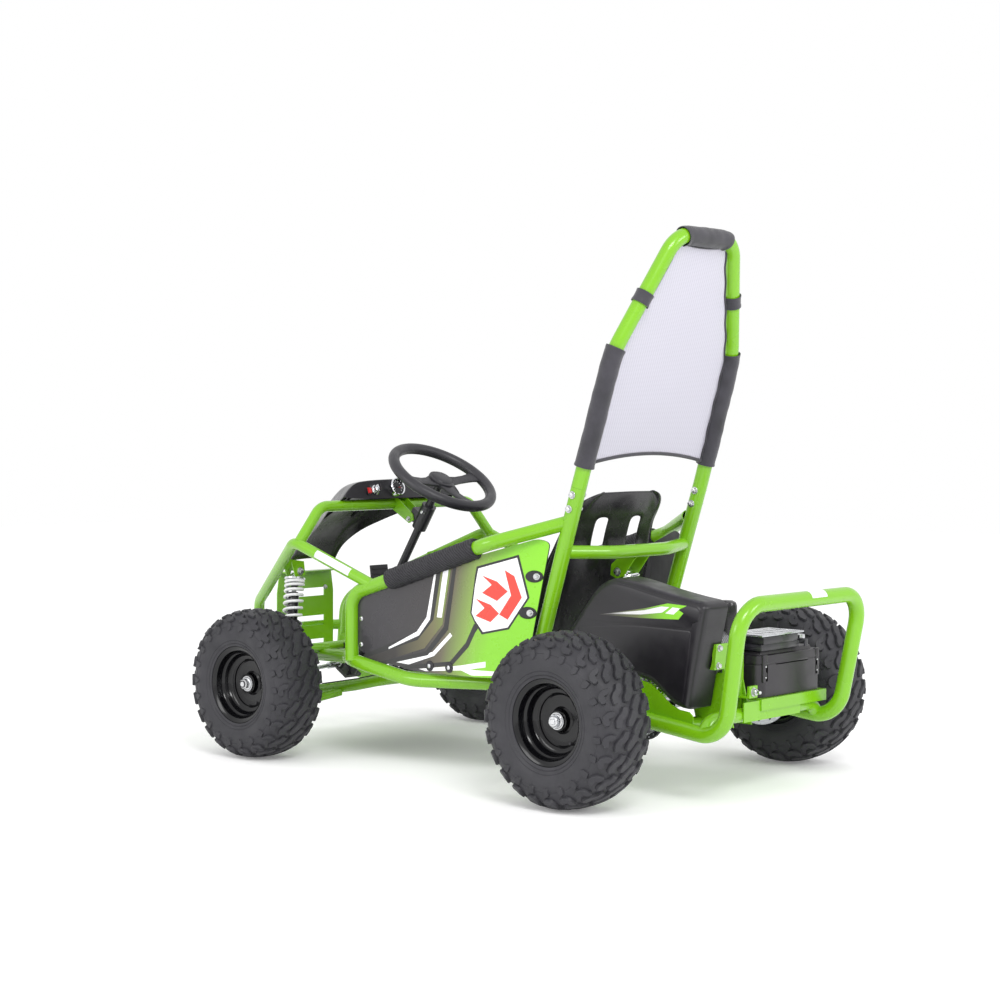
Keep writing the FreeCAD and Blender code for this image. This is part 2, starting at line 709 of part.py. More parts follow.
# ---------------------------------------------------------------- knuckles and tie rods
for word, s, turn in SIDES:
    k = V(FRONT_X, s * f("king_y"), 0)
    boss = Part.makeCylinder(f("king_r"), f("king_high") - f("king_low"), k + V(0, 0, f("king_low")), V(0, 0, 1))
    stub = Part.makeCylinder(f("stub_r"), f("front_track") / 2.0 + 42 - f("king_y"),
                             V(FRONT_X, s * f("king_y"), f("front_axle_z")), V(0, s, 0))
    collar = Part.makeCylinder(14, 20, V(FRONT_X, s * f("king_y"), f("front_axle_z")), V(0, s, 0))
    y0 = s * f("king_y")
    arm = prism([(FRONT_X, y0 - 10), (FRONT_X, y0 + 10), (FRONT_X + 72, y0 - s * 22 + 10),
                 (FRONT_X + 78, y0 - s * 22), (FRONT_X + 72, y0 - s * 22 - 10)], "z", 142.0, 149.0)
    feature("knuckle_" + word, boss.fuse([stub, collar, arm]).removeSplitter())

    # the inner ring sits on the pitman plate, the outer ring above the knuckle's arm
    inner = V(ball_c.x, s * 16.0, ball_c.z) + axis_dir * 6.7
    outer = V(FRONT_X + 64.0, s * (f("king_y") - 22.0), 163.0)
    d = outer - inner
    n = V(d)
    n.normalize()
    r = Part.makeCylinder(f("rod_r"), d.Length, inner, d)
    e1 = Part.makeCylinder(9, 11, inner - axis_dir * 5.5, axis_dir)
    e2 = Part.makeCylinder(9, 11, outer - V(0, 0, 5.5), V(0, 0, 1))
    s1 = Part.makeCylinder(8, 30, inner + n * 20, d)
    s2 = Part.makeCylinder(8, 30, outer - n * 50, d)
    feature("tie_rod_" + word, r.fuse([e1, e2, s1, s2]).removeSplitter())

# ---------------------------------------------------------------- front suspension
arms = []
for s in (1, -1):
    top = V(FRONT_X, s * f("king_y"), f("king_high") + 9)
    low_ = V(FRONT_X, s * f("king_y"), f("arm_low"))
    parts = [Part.makeCylinder(13, 16, top - V(0, 0, 8), V(0, 0, 1)),
             Part.makeCylinder(13, 16, low_ - V(0, 0, 8), V(0, 0, 1))]
    for x in (-46, 52):
        parts.append(bar([top, V(FRONT_X + x, s * 206, 232)], B, 16.0))
        parts.append(bar([low_, V(FRONT_X + x, s * 168, 128)], B, 18.0))
    for x in (-5, 33):
        parts.append(prism([(s * 245, 228), (s * 279, 228), (s * 273, 270), (s * 263, 274), (s * 253, 270)],
                           "x", FRONT_X + x, FRONT_X + x + 8))
    parts.append(bar([V(FRONT_X - 23, s * 261, 233.5), V(FRONT_X + 47, s * 261, 233.5)], B, 14.0))
    parts.append(Part.makeCylinder(4.8, 46, V(FRONT_X - 5, s * 262, 262), V(1, 0, 0)))
    shape = parts[0].multiFuse(parts[1:]).cut(welded)
    arms += [x for x in shape.Solids if x.Volume > 300]
feature("suspension_arms", Part.makeCompound(arms))
print("arms", len(arms))

# three shocks: name, upper eye, lower eye, spring radius, eye axis, half length of the eyes
SHOCKS = (
    ("front_left", V(485, 232, 404), V(466.5, 262, 262), 24.0, V(1, 0, 0), 12.0),
    ("front_right", V(485, -232, 404), V(466.5, -262, 262), 24.0, V(1, 0, 0), 12.0),
    ("rear", SHOCK_TOP, SHOCK_LOW, 27.0, V(0, 1, 0), 19.4),
)
bodies_, springs = [], []
for name, top, low_, r, eye, half in SHOCKS:
    d = low_ - top
    n = V(d)
    n.normalize()
    L = d.Length
    parts = [Part.makeCylinder(9, 2 * half, top - eye * half, eye), Part.makeCylinder(9, 2 * half, low_ - eye * half, eye),
             Part.makeCylinder(5.5, L, top, d), Part.makeCylinder(f("damper_r"), L * 0.52, top + n * (L * 0.36), d),
             Part.makeCylinder(r + 1, 6, top + n * 16, d), Part.makeCylinder(r + 1, 6, low_ - n * 24, d)]
    if name == "rear":
        # the eye bolts run through the ears
        parts.append(Part.makeCylinder(4.0, 56, top - eye * 28, eye))
        parts.append(Part.makeCylinder(4.0, 56, low_ - eye * 28, eye))
        shock = parts[0].multiFuse(parts[1:])
    else:
        shock = parts[0].multiFuse(parts[1:]).cut(Part.makeCylinder(5.2, 60, low_ - eye * 30, eye))
        shock = shock.cut(welded)
    bodies_.append(sorted(shock.Solids, key=lambda x_: -x_.Volume)[0])
    tube_ = Part.makeCylinder(r, L - 16 - 24 - 8, top + n * 22.5, d).cut(
        Part.makeCylinder(r - f("spring_wire"), L, top, d))
    springs.append(tube_)
feature("shock_absorbers", Part.makeCompound(bodies_))
feature("shock_springs", Part.makeCompound(springs))
# brackets of the upper front eyes on the arches
brackets = []
for s in (1, -1):
    for x in (469.0, 498.0):
        plate = prism([(s * 216, 394), (s * 246, 394), (s * 260, 432), (s * 220, 426)], "x", x, x + 3.0)
        cut = plate.cut(welded)
        brackets += [x_ for x_ in cut.Solids if x_.Volume > 200]
print("shock brackets", len(brackets))
feature("shock_brackets", Part.makeCompound(brackets))

# ---------------------------------------------------------------- rear subframe
cy = f("carrier_y")
ears = []
for y in (-24.0, 20.0):
    ear = prism([(-370, 170), (-354, 182), (-384, 232), (-398, 236), (-412, 226), (-408, 208)], "y", y, y + 4.0)
    ears.append(ear.cut(Part.makeCylinder(4.3, 80, V(SHOCK_LOW.x, -40, SHOCK_LOW.z), V(0, 1, 0))))
# pivot bushes between the plates of the frame
for s in (1, -1):
    ears.append(Part.makeCylinder(15.0, 43.0, V(f("swing_pivot_x"), s * 170.0 - 21.5, f("swing_pivot_z")), V(0, 1, 0)))
# gusset standing on the left tube, just under the chain cover
ears.append(prism([(-470, 163), (-606, 148), (-606, 172), (-597, 180.5), (-572, 183.5), (-550, 192.5), (-527, 210.5),
                   (-502, 228.5), (-470, 235)], "y", 184.0, 188.0))
frame_node("rear_subframe", (
    ([at("swing_pivot"), at("swing_axle")], B, M),
    ([at("swing_axle"), at("loop_start"), at("loop_low"), at("loop_top"), at("loop_top", -1), at("loop_low", -1),
      at("loop_start", -1), at("swing_axle", -1)], [W, B, B, B, B, W], M),
    ([at("swing_cross_end"), at("swing_cross"), at("swing_cross", -1), at("swing_cross_end", -1)], B, H),
    ([at("swing_front"), at("swing_front", -1)], B, C),
    ([at("swing_shock"), at("swing_shock", -1)], B, C),
    ([at("swing_mid"), at("swing_mid", -1)], B, C),
), extra=ears)
sub = nodes["rear_subframe"]
ring_cut = []
carriers = []
for s in (1, -1):
    ring_cut.append(Part.makeCylinder(f("carrier_r"), 44, V(REAR_X, s * cy - 22, f("rear_axle_z")), V(0, 1, 0)))
    c = Part.makeCylinder(f("carrier_r"), 30, V(REAR_X, s * cy - 15, f("rear_axle_z")), V(0, 1, 0))
    c = c.cut(Part.makeCylinder(f("axle_r") + 0.6, 60, V(REAR_X, s * cy - 30, f("rear_axle_z")), V(0, 1, 0)))
    carriers.append(c)
shape = sub.Shape.cut(ring_cut)
keep = [x for x in shape.Solids if x.Volume > 400]
sub.Shape = Part.makeCompound(keep) if len(keep) > 1 else keep[0]
print("subframe solids", len(keep))
feature("axle_bearings", Part.makeCompound(carriers))

# ---------------------------------------------------------------- motor, chain, cover
mx, mz = f("motor_x"), f("motor_z")
motor = Part.makeCylinder(f("motor_r"), f("motor_len"), V(mx, f("motor_left") - f("motor_len"), mz), V(0, 1, 0))
# terminal dome on top of the can
dome = Part.makeCylinder(22, 62, V(mx - 24, 48, mz + 44), V(0, 0, 1))
dome = dome.fuse(Part.makeCylinder(22, 30, V(mx - 24, 48, mz + 20), V(0, 0, 1)))
shaft = Part.makeCylinder(6, 26, V(mx, f("motor_left"), mz), V(0, 1, 0))
pinion = Part.makeCylinder(f("pinion_r"), 5, V(mx, f("sprocket_y") - 2.5, mz), V(0, 1, 0))
motor = motor.fuse([shaft, pinion, dome]).removeSplitter()
feature("motor", motor)
# rear plate, two side plates on the cross tubes and the ear behind the cover
mount = prism([(mx - 62, 160), (mx - 57, 160), (mx - 57, 300), (mx - 62, 300)], "y", 40, 106)
mount = mount.fuse([prism([(-644, 146), (-556, 146), (-528, 252), (mx - 58, 252)], "y", 40, 44),
                    prism([(-644, 146), (-556, 146), (-528, 252), (mx - 58, 252)], "y", 102, 106),
                    prism([(mx - 62, 261), (mx - 50.2, 261), (mx - 60.6, 312), (mx - 65.6, 312), (mx - 65.6, 300)], "y", 97, 139),
                    prism([(-660, 202), (-655, 202), (-655, 226), (-660, 226)], "y", 46, 74),
                    prism([(-660, 202), (mx - 58, 202), (mx - 58, 206), (-660, 206)], "y", 46, 74)])
mount = mount.cut([Part.makeCylinder(f("motor_r") + 0.3, 400, V(mx, -200, mz), V(0, 1, 0))] + welded)
mount = sorted(mount.Solids, key=lambda s: -s.Volume)
print("motor mount solids", [round(x.Volume) for x in mount])
feature("motor_mount", mount[0])


def chain_outline(grow):
    """Two circles and their outer tangents, as a face in the chain's plane."""
    a, ra = V(REAR_X, 0, f("rear_axle_z")), f("sprocket_r") - 4 + grow
    b, rb = V(mx, 0, mz), f("pinion_r") - 3 + grow
    d = b - a
    L = d.Length
    u = V(d)
    u.normalize()
    n = V(-u.z, 0, u.x)
    k = (ra - rb) / L
    c = math.sqrt(1 - k * k)
    pts = []
    for sgn in (1, -1):
        m = u * k + n * (sgn * c)
        pts.append((a + m * ra, b + m * rb))
    e = [Part.LineSegment(pts[0][0], pts[0][1]).toShape(),
         Part.Arc(pts[0][1], b + u * rb, pts[1][1]).toShape(),
         Part.LineSegment(pts[1][1], pts[1][0]).toShape(),
         Part.Arc(pts[1][0], a - u * ra, pts[0][0]).toShape()]
    return Part.Face(Part.Wire(e))


y0 = f("sprocket_y") - 5.5
outer = chain_outline(9.0)
inner = chain_outline(1.0)
outer.translate(V(0, y0, 0))
inner.translate(V(0, y0 - 1, 0))
chain = outer.extrude(V(0, 11, 0)).cut(inner.extrude(V(0, 13, 0)))
chain = chain.cut([Part.makeCylinder(f("sprocket_r") + 0.4, 5.8, V(REAR_X, f("sprocket_y") - 2.9, f("rear_axle_z")), V(0, 1, 0)),
                   Part.makeCylinder(f("pinion_r") + 0.2, 5.4, V(mx, f("sprocket_y") - 2.7, mz), V(0, 1, 0))])
chain_s = sorted(chain.Solids, key=lambda s: -s.Volume)
print("chain solids", [round(x.Volume) for x in chain_s])
feature("drive_chain", chain_s[0])

# cover over the chain, an open-backed moulding on the left of the motor; outline in (x, z)
COVER = [(-288, 322), (-310, 350), (-357, 410), (-383, 427), (-409, 434), (-448, 429), (-512, 415), (-581, 403),
         (-622, 398), (-636, 388), (-628, 352), (-612, 276), (-595, 184), (-572, 186), (-549, 195), (-526, 213),
         (-501, 231), (-466, 238), (-400, 240), (-330, 268)]


def offset_face(points, amount):
    wire = Part.makePolygon([V(x, 0, z) for x, z in points] + [V(points[0][0], 0, points[0][1])])
    return Part.Face(wire).makeOffset2D(amount, 2)


face = Part.Face(Part.makePolygon([V(x, 0, z) for x, z in COVER] + [V(COVER[0][0], 0, COVER[0][1])]))
skin = face.copy()
skin.translate(V(0, 112, 0))
skin = skin.extrude(V(0, 78, 0))
void = offset_face(COVER, -4.0)
void.translate(V(0, 111, 0))
void = void.extrude(V(0, 75, 0))
cover = skin.cut(void)
# way out for the chain through the lower edge
chain_way = chain_outline(17.0)
chain_way.translate(V(0, f("sprocket_y") - 12.0, 0))
chain_way = chain_way.extrude(V(0, 24, 0))
cover = cover.cut([Part.makeCylinder(f("carrier_r") + 6, 200, V(REAR_X, 60, f("rear_axle_z")), V(0, 1, 0)),
                   chain_way, Part.makeCylinder(f("motor_r") + 2, 30, V(mx, 105, mz), V(0, 1, 0))] + welded)
cover_s = sorted(cover.Solids, key=lambda s: -s.Volume)
print("cover solids", [round(x.Volume) for x in cover_s])
feature("chain_cover", cover_s[0])

# ---------------------------------------------------------------- brake caliper
cal = Part.makeBox(56, 34, 46, V(REAR_X + 42, -f("disc_y") - 17, f("rear_axle_z") + 34))
cal = cal.cut(Part.makeCylinder(f("disc_r") + 6, f("disc_t") + 10, V(REAR_X, -f("disc_y") - 5, f("rear_axle_z")), V(0, 1, 0)))
stay = prism([(REAR_X + 34, 178), (REAR_X + 64, 178), (REAR_X + 92, 212), (REAR_X + 92, 250), (REAR_X + 50, 250),
              (REAR_X + 26, 208)], "y", -f("disc_y") + 17, -f("disc_y") + 22)
bridge = prism([(REAR_X + 34, 178), (REAR_X + 64, 178), (REAR_X + 74, 196), (REAR_X + 40, 206)], "y", -250, -214)
cal = cal.fuse([stay, bridge]).cut(welded + carriers)
cal_s = sorted(cal.Solids, key=lambda s: -s.Volume)
print("caliper solids", [round(x.Volume) for x in cal_s])
feature("brake_caliper", cal_s[0])

# ---------------------------------------------------------------- battery and tray
case = box("battery_case", (q("battery_x"), q("battery_y"), q("battery_z")),
           (q("battery_l"), q("battery_w"), q("battery_h")))
node(case, "battery")
tray = box("tray_sheet", (q("battery_x") - 10, q("battery_y") - 3, q("battery_z") - q("tray_t")),
           (q("battery_l") + 14, q("battery_w") + 15, q("tray_t")))
rear_lip = box("tray_rear_lip", (q("battery_x") - 10, q("battery_y") - 3, q("battery_z") - q("tray_lip")),
               (q("tray_t"), q("battery_w") + 15, q("tray_lip")))
front_lip = box("tray_front_lip", (q("battery_x") + q("battery_l") + 1, q("battery_y") - 3, q("battery_z") - q("tray_lip")),
                (q("tray_t"), q("battery_w") + 15, q("tray_lip")))
# four feet from the sheet down to the cross tubes: x, y, lower end
FEET = ((-655, -150, 170), (-655, -20, 170), (-578, -150, 150), (-578, -20, 150))
feet = [box("tray_foot_%d" % i, (x, y, z), (34, 4, q("battery_z") - q("tray_t") / 2 - z)) for i, (x, y, z) in enumerate(FEET)]
# skirt behind the lip, down over the rear cross tube
feet.append(box("tray_skirt", (q("battery_x") - 7, -111, 155), (2.8, 198, q("battery_z") - q("tray_t") / 2 - 155)))
tube_tool = doc.addObject("Part::Feature", "tray_tubes")
tube_tool.Shape = Part.makeCompound(welded)
node(less("battery_tray", joined("battery_tray", [tray, rear_lip, front_lip] + feet), tube_tool), "battery_tray")
clamp = box("clamp_block", (q("battery_x") + 6, -130, q("battery_z") + q("battery_h")), (78, 140, 30))
plate = box("clamp_plate", (q("battery_x"), -135, q("battery_z") + q("battery_h") + 30), (90, 150, 4))
node(joined("battery_clamp", [clamp, plate]), "battery_clamp")

# ---------------------------------------------------------------- seat
# side outline (x, z) of the bucket, and the front view (y, z) that narrows its back
SEAT_SIDE = [(-206, 214), (-275, 522), (-312, 598), (-294, 605), (-228, 440), (-182, 330), (-60, 300), (50, 270),
             (66, 262), (66, 214)]
st, sh_, sth = f("seat_t"), f("seat_half"), f("seat_top_half")
# half of the front view, low to high, outside and inside of the shell
edge_out = [(sh_, 200), (sh_, 430), (150, 530), (146, 566), (134, 584), (110, 597), (sth, 605)]
edge_in = [(sh_ - st, 200), (sh_ - st, 429), (143.5, 528), (139.6, 564), (129, 579), (107, 590), (sth - 3, 598),
           (sth - 3, 660)]
front_out = edge_out + [(-y, z) for y, z in reversed(edge_out)]
front_in = edge_in + [(-y, z) for y, z in reversed(edge_in)]
solid = prism(SEAT_SIDE, "y", -200.0, 200.0).common(prism(front_out, "x", -400.0, 100.0))
void = prism([(-201.2, 220), (-268.7, 521.5), (-305.3, 597), (-332, 652), (120, 652), (120, 240), (66, 238), (44, 226),
              (20, 220)], "y", -200.0, 200.0)
void = void.common(prism(front_in, "x", -400.0, 140.0))
slots = [Part.makeBox(90, 36, 75, V(-345, y - 18, 470)) for y in (57, -57)]
seat = solid.cut([void] + slots)
seat_s = sorted(seat.Solids, key=lambda s: -s.Volume)
print("seat solids", [round(x.Volume) for x in seat_s])
feature("seat", seat_s[0])
# two flat bars between the floor sheet and the seat: x, underside
mounts_ = [Part.makeBox(26, 300, 214.0 - z, V(x, -150, z)) for x, z in ((-150.0, 204.1), (20.0, 200.1))]
feature("seat_rails", Part.makeCompound(mounts_))

# ---------------------------------------------------------------- side panels
pt = f("panel_t")
plan = [(212, 297), (-130, 297), (-250, 232), (-250, 232 - pt * 1.1), (-129, 297 - pt), (212, 297 - pt)]
side = [(212, 372), (-132, 466), (-252, 510), (-276, 505), (-222, 214), (-122, 218), (50, 216), (170, 234), (212, 246)]
panel = prism(plan, "z", 150.0, 540.0).common(prism(side, "y", 150.0, 340.0))
panel = panel.cut(welded)
panel_s = sorted(panel.Solids, key=lambda s: -s.Volume)
print("panel solids", [round(x.Volume) for x in panel_s])
feature("side_panels", Part.makeCompound([panel_s[0], mirror_y(panel_s[0])]))

# ---------------------------------------------------------------- sleeves and net
rail_a, rail_b = at("rail_bend"), at("rail_front")
u = rail_b - rail_a
u.normalize()
s0, s1 = rail_a + u * 42.0, rail_a + u * 292.0
sleeve = Part.makeCylinder(f("sleeve_r"), (s1 - s0).Length, s0, u).cut(
    Part.makeCylinder(M / 2.0 + 0.2, 600.0, s0 - u * 50, u))
sleeve = sleeve.cut(welded + [nodes["side_panels"].Shape])
sleeve = sorted(sleeve.Solids, key=lambda s: -s.Volume)[0]
feature("rail_sleeves", Part.makeCompound([sleeve, mirror_y(sleeve)]))

roll_path = route([at("hoop_joint"), at("roll_shoulder"), at("roll_corner"), at("roll_corner", -1),
                   at("roll_shoulder", -1), at("hoop_joint", -1)], [W, B, B, W])


def stretch(points, start, end, radius, od):
    """Tube round a straight part of the roll bar."""
    a, b = points
    d = b - a
    d.normalize()
    return Part.makeCylinder(od / 2.0, end - start, a + d * start, d).cut(
        Part.makeCylinder(M / 2.0 + 0.2, 2000.0, a - d * 500, d))


j, sh, co = at("hoop_joint"), at("roll_shoulder"), at("roll_corner")
od = 2.0 * f("hoop_sleeve_r")
du, dv = sh - j, co - sh
du.normalize()
dv.normalize()
dm = du + dv
dm.normalize()
# long sleeve from above the bolts to the middle of the wide bend
run = [j + du * 44.0, sh, sh + dv * 80.0]
long_ = bar(run, W, od).cut([bar([j, sh, sh + dv * 110.0], W, M + 0.4), Part.makeCylinder(60.0, 160.0, sh + dm * 9.0, dm)])
long_ = sorted(long_.Solids, key=lambda s: -s.Volume)[0]
pieces = [long_, mirror_y(long_), stretch((sh, co), 112.0, 138.0, B, od), mirror_y(stretch((sh, co), 122.0, 148.0, B, od))]
top_d = V(0, -1, 0)
pieces.append(stretch((co, at("roll_corner", -1)), 44.0, 140.0, B, od))
feature("hoop_sleeves", Part.makeCompound(pieces))

# net: flat sheet in the plane of the roll bar, between the tubes
n_dir = (sh - j).cross(V(0, 1, 0))
n_dir.normalize()


def net_point(y, z):
    """Point of the net's plane at a height."""
    base, d = j, sh - j
    return V(base.x + d.x * (z - base.z) / d.z, y, z)


NET = [(184, 664), (178, 884), (64, 1116), (-64, 1116), (-178, 884), (-184, 664), (0, 681)]
pts = [net_point(y, z) for y, z in NET]
face = Part.Face(Part.makePolygon(pts + [pts[0]]))
net = face.extrude(n_dir * f("net_t"))
net.translate(n_dir * (-f("net_t") / 2.0))
net = net.cut([bar([j, sh, co, at("roll_corner", -1), at("roll_shoulder", -1), at("hoop_joint", -1)],
                   [W, B, B, W], od + 1.0)])
net_s = sorted(net.Solids, key=lambda s: -s.Volume)
feature("roll_net", net_s[0])

# ---------------------------------------------------------------- pedals
# name, foot x, lean of the arm, y, pad width
def pan_top(x):
    """Height of the floor sheet's upper face."""
    for (x0, z0), (x1, z1) in zip(pan_line, pan_line[1:]):
        if x0 <= x <= x1:
            return z0 + (z1 - z0) * (x - x0) / (x1 - x0) + f("floor_t")


for label, x, lean, y, wide in (("accelerator_pedal", 305.0, 32.0, -95.0, 50.0), ("brake_pedal", 305.0, 32.0, 95.0, 56.0)):
    x1, x2 = x + lean, x + lean + 13.0
    arm = prism([(x - 6, pan_top(x - 6) + 2), (x + 6, pan_top(x + 6) + 2), (x1 + 7, 370), (x1 - 4, 374)], "y", y - 5, y + 5)
    face_ = prism([(x1 + 2, 334), (x1 + 8, 334), (x2 + 6, 419), (x2, 419)], "y", y - wide / 2, y + wide / 2)
    foot_ = prism([(x - 24, pan_top(x - 24) + 0.1), (x + 12, pan_top(x + 12) + 0.1), (x + 12, pan_top(x + 12) + 10),
                   (x - 24, pan_top(x - 24) + 10)], "y", y - 18, y + 18)
    pedal = arm.fuse([face_, foot_]).removeSplitter()
    feature(label, sorted(pedal.Solids, key=lambda s: -s.Volume)[0])

# ---------------------------------------------------------------- check and write
doc.recompute()
bad = [o.Name for o in doc.Objects if "Invalid" in o.State or "Error" in o.State]
if bad:
    raise RuntimeError("failed objects: " + ", ".join(bad))
os.makedirs("parts", exist_ok=True)
for label, obj in nodes.items():
    shape = obj.Shape
    if shape.isNull() or not shape.isValid():
        raise RuntimeError("bad shape: " + label)
    if not shape.Solids:
        raise RuntimeError("no solid: " + label)
for label, obj in nodes.items():
    obj.Shape.exportStep("parts/" + label + ".step")
total = None
for obj in nodes.values():
    bb = obj.Shape.optimalBoundingBox(False)
    total = bb if total is None else total.united(bb) if hasattr(total, "united") else total
print(len(nodes), "nodes")
low_c = [min(getattr(o.Shape.BoundBox, a) for o in nodes.values()) for a in ("XMin", "YMin", "ZMin")]
high_c = [max(getattr(o.Shape.BoundBox, a) for o in nodes.values()) for a in ("XMax", "YMax", "ZMax")]
print("box", [round(v, 1) for v in low_c], [round(v, 1) for v in high_c])
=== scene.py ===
import bpy
import bmesh
import math
import random
from mathutils import Vector, Matrix


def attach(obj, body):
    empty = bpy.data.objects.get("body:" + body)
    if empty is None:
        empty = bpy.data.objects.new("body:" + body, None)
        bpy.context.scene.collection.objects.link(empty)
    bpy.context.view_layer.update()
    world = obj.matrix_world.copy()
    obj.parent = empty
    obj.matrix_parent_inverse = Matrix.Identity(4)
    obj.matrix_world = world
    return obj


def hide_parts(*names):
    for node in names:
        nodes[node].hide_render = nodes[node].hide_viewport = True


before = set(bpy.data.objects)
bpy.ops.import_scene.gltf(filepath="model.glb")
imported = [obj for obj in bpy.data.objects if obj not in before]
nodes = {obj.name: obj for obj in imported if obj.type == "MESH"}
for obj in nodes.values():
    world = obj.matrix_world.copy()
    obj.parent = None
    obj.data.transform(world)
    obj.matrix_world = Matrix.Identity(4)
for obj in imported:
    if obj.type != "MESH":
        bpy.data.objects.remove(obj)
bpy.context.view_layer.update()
scene = bpy.context.scene
MM = 0.001
FX, RX, FZ, RZ = 448.5, -448.5, 165.0, 172.5
FY, RY = 382.0, 384.0


def V(x, y, z=0.0):
    return Vector((x, y, z))


# ------------------------------------------------------------------ camera
az, down, roll = -0.843127, 0.0386014, 0.00424923
fwd = Vector((math.cos(down) * math.cos(az), math.cos(down) * math.sin(az), -math.sin(down)))
right = fwd.cross(Vector((0, 0, 1))).normalized()
up = right.cross(fwd)
r_ = right * math.cos(roll) + up * math.sin(roll)
u_ = up * math.cos(roll) - right * math.sin(roll)
cam_data = bpy.data.cameras.new("camera")
cam_data.sensor_width = 36.0
cam_data.lens = 73.785
cam_data.clip_start, cam_data.clip_end = 0.1, 60.0
cam = bpy.data.objects.new("camera", cam_data)
scene.collection.objects.link(cam)
rot = Matrix((r_, u_, -fwd)).transposed()
cam.matrix_world = Matrix.Translation((-2.96945, 3.40888, 0.747986)) @ rot.to_4x4()
scene.camera = cam

# ------------------------------------------------------------------ materials
MATS = {}


def nodes_of(name):
    m = bpy.data.materials.new(name)
    m.use_nodes = True
    t = m.node_tree
    t.nodes.clear()
    out = t.nodes.new("ShaderNodeOutputMaterial")
    p = t.nodes.new("ShaderNodeBsdfPrincipled")
    t.links.new(p.outputs["BSDF"], out.inputs["Surface"])
    MATS[name] = m
    return m, t, p


def srgb(r, g, b):
    def f(c):
        c /= 255.0
        return c / 12.92 if c <= 0.04045 else ((c + 0.055) / 1.055) ** 2.4
    return (f(r), f(g), f(b), 1.0)


def obj_coords(t):
    return t.nodes.new("ShaderNodeTexCoord").outputs["Object"]


def noise(t, vec, scale, detail=3.0, rough=0.5):
    n = t.nodes.new("ShaderNodeTexNoise")
    n.inputs["Scale"].default_value = scale
    n.inputs["Detail"].default_value = detail
    n.inputs["Roughness"].default_value = rough
    t.links.new(vec, n.inputs["Vector"])
    return n.outputs["Fac"]


def ramp(t, fac, stops, interp="LINEAR"):
    n = t.nodes.new("ShaderNodeValToRGB")
    n.color_ramp.interpolation = interp
    e = n.color_ramp.elements
    while len(e) < len(stops):
        e.new(0.5)
    for el, (pos, col) in zip(e, stops):
        el.position = pos
        el.color = col
    t.links.new(fac, n.inputs["Fac"])
    return n.outputs["Color"]


def mapr(t, fac, lo, hi, a=0.0, b=1.0):
    n = t.nodes.new("ShaderNodeMapRange")
    n.inputs["From Min"].default_value = a
    n.inputs["From Max"].default_value = b
    n.inputs["To Min"].default_value = lo
    n.inputs["To Max"].default_value = hi
    t.links.new(fac, n.inputs["Value"])
    return n.outputs["Result"]


def bump(t, p, height, strength, dist):
    n = t.nodes.new("ShaderNodeBump")
    n.inputs["Strength"].default_value = strength
    n.inputs["Distance"].default_value = dist
    t.links.new(height, n.inputs["Height"])
    t.links.new(n.outputs["Normal"], p.inputs["Normal"])
    return n


def shade(col, k):
    return (col[0] * k, col[1] * k, col[2] * k, 1.0)


def surface(name, col, rough, metal=0.0, spread=0.12, cscale=30.0, rspread=0.06, bscale=400.0, bstrength=0.1,
            bdist=0.0004, coat=0.0, coat_rough=0.1, spec=0.5, sheen=0.0, detail=3.0):
    """Base colour that wanders a little, roughness that wanders with it and a fine grain."""
    m, t, p = nodes_of(name)
    vec = obj_coords(t)
    n1 = noise(t, vec, cscale, detail)
    c = ramp(t, n1, [(0.3, shade(col, 1.0 - spread)), (0.7, shade(col, 1.0 + spread))])
    t.links.new(c, p.inputs["Base Color"])
    n2 = noise(t, vec, cscale * 2.3, 4.0)
    t.links.new(mapr(t, n2, max(rough - rspread, 0.02), rough + rspread, 0.3, 0.7), p.inputs["Roughness"])
    p.inputs["Metallic"].default_value = metal
    p.inputs["Specular IOR Level"].default_value = spec
    if coat:
        p.inputs["Coat Weight"].default_value = coat
        p.inputs["Coat Roughness"].default_value = coat_rough
    if sheen:
        p.inputs["Sheen Weight"].default_value = sheen
        p.inputs["Sheen Roughness"].default_value = 0.4
    if bstrength:
        bump(t, p, noise(t, vec, bscale, 2.0), bstrength, bdist)
    return m


LIME = srgb(117, 178, 16)
surface("green", LIME, 0.26, spread=0.03, cscale=6.0, rspread=0.03, bscale=260.0, bstrength=0.05, bdist=0.0003,
        coat=0.3, coat_rough=0.10)
surface("black_plastic", srgb(40, 38, 43), 0.42, spread=0.10, cscale=18.0, bscale=900.0, bstrength=0.22, bdist=0.0002)
surface("cover_plastic", srgb(27, 25, 30), 0.36, spread=0.10, cscale=18.0, bscale=900.0, bstrength=0.16, bdist=0.0002)
surface("gloss_plastic", srgb(30, 28, 32), 0.25, spread=0.10, cscale=14.0, bscale=500.0, bstrength=0.08, bdist=0.0002)
surface("black_metal", srgb(38, 37, 42), 0.34, spread=0.10, cscale=25.0, bscale=500.0, bstrength=0.10, bdist=0.0002, coat=0.2)
surface("floor_metal", srgb(34, 33, 36), 0.45, spread=0.15, cscale=12.0, bscale=300.0, bstrength=0.15)
surface("steel", srgb(196, 198, 202), 0.26, metal=1.0, spread=0.06, cscale=60.0, rspread=0.08, bscale=700.0, bstrength=0.10)
surface("zinc", srgb(205, 206, 208), 0.30, metal=1.0, spread=0.08, cscale=90.0, rspread=0.10, bscale=800.0, bstrength=0.08)
surface("chrome", srgb(228, 229, 232), 0.08, metal=1.0, spread=0.03, cscale=40.0, rspread=0.03, bstrength=0.0)
surface("white_spring", srgb(238, 238, 240), 0.25, spread=0.02, cscale=30.0, bscale=500.0, bstrength=0.05, coat=0.4)
surface("shock_black", srgb(26, 26, 30), 0.22, spread=0.08, cscale=30.0, bscale=500.0, bstrength=0.05, coat=0.3)
surface("motor_alloy", srgb(186, 186, 190), 0.42, metal=0.9, spread=0.08, cscale=45.0, bscale=500.0, bstrength=0.18)
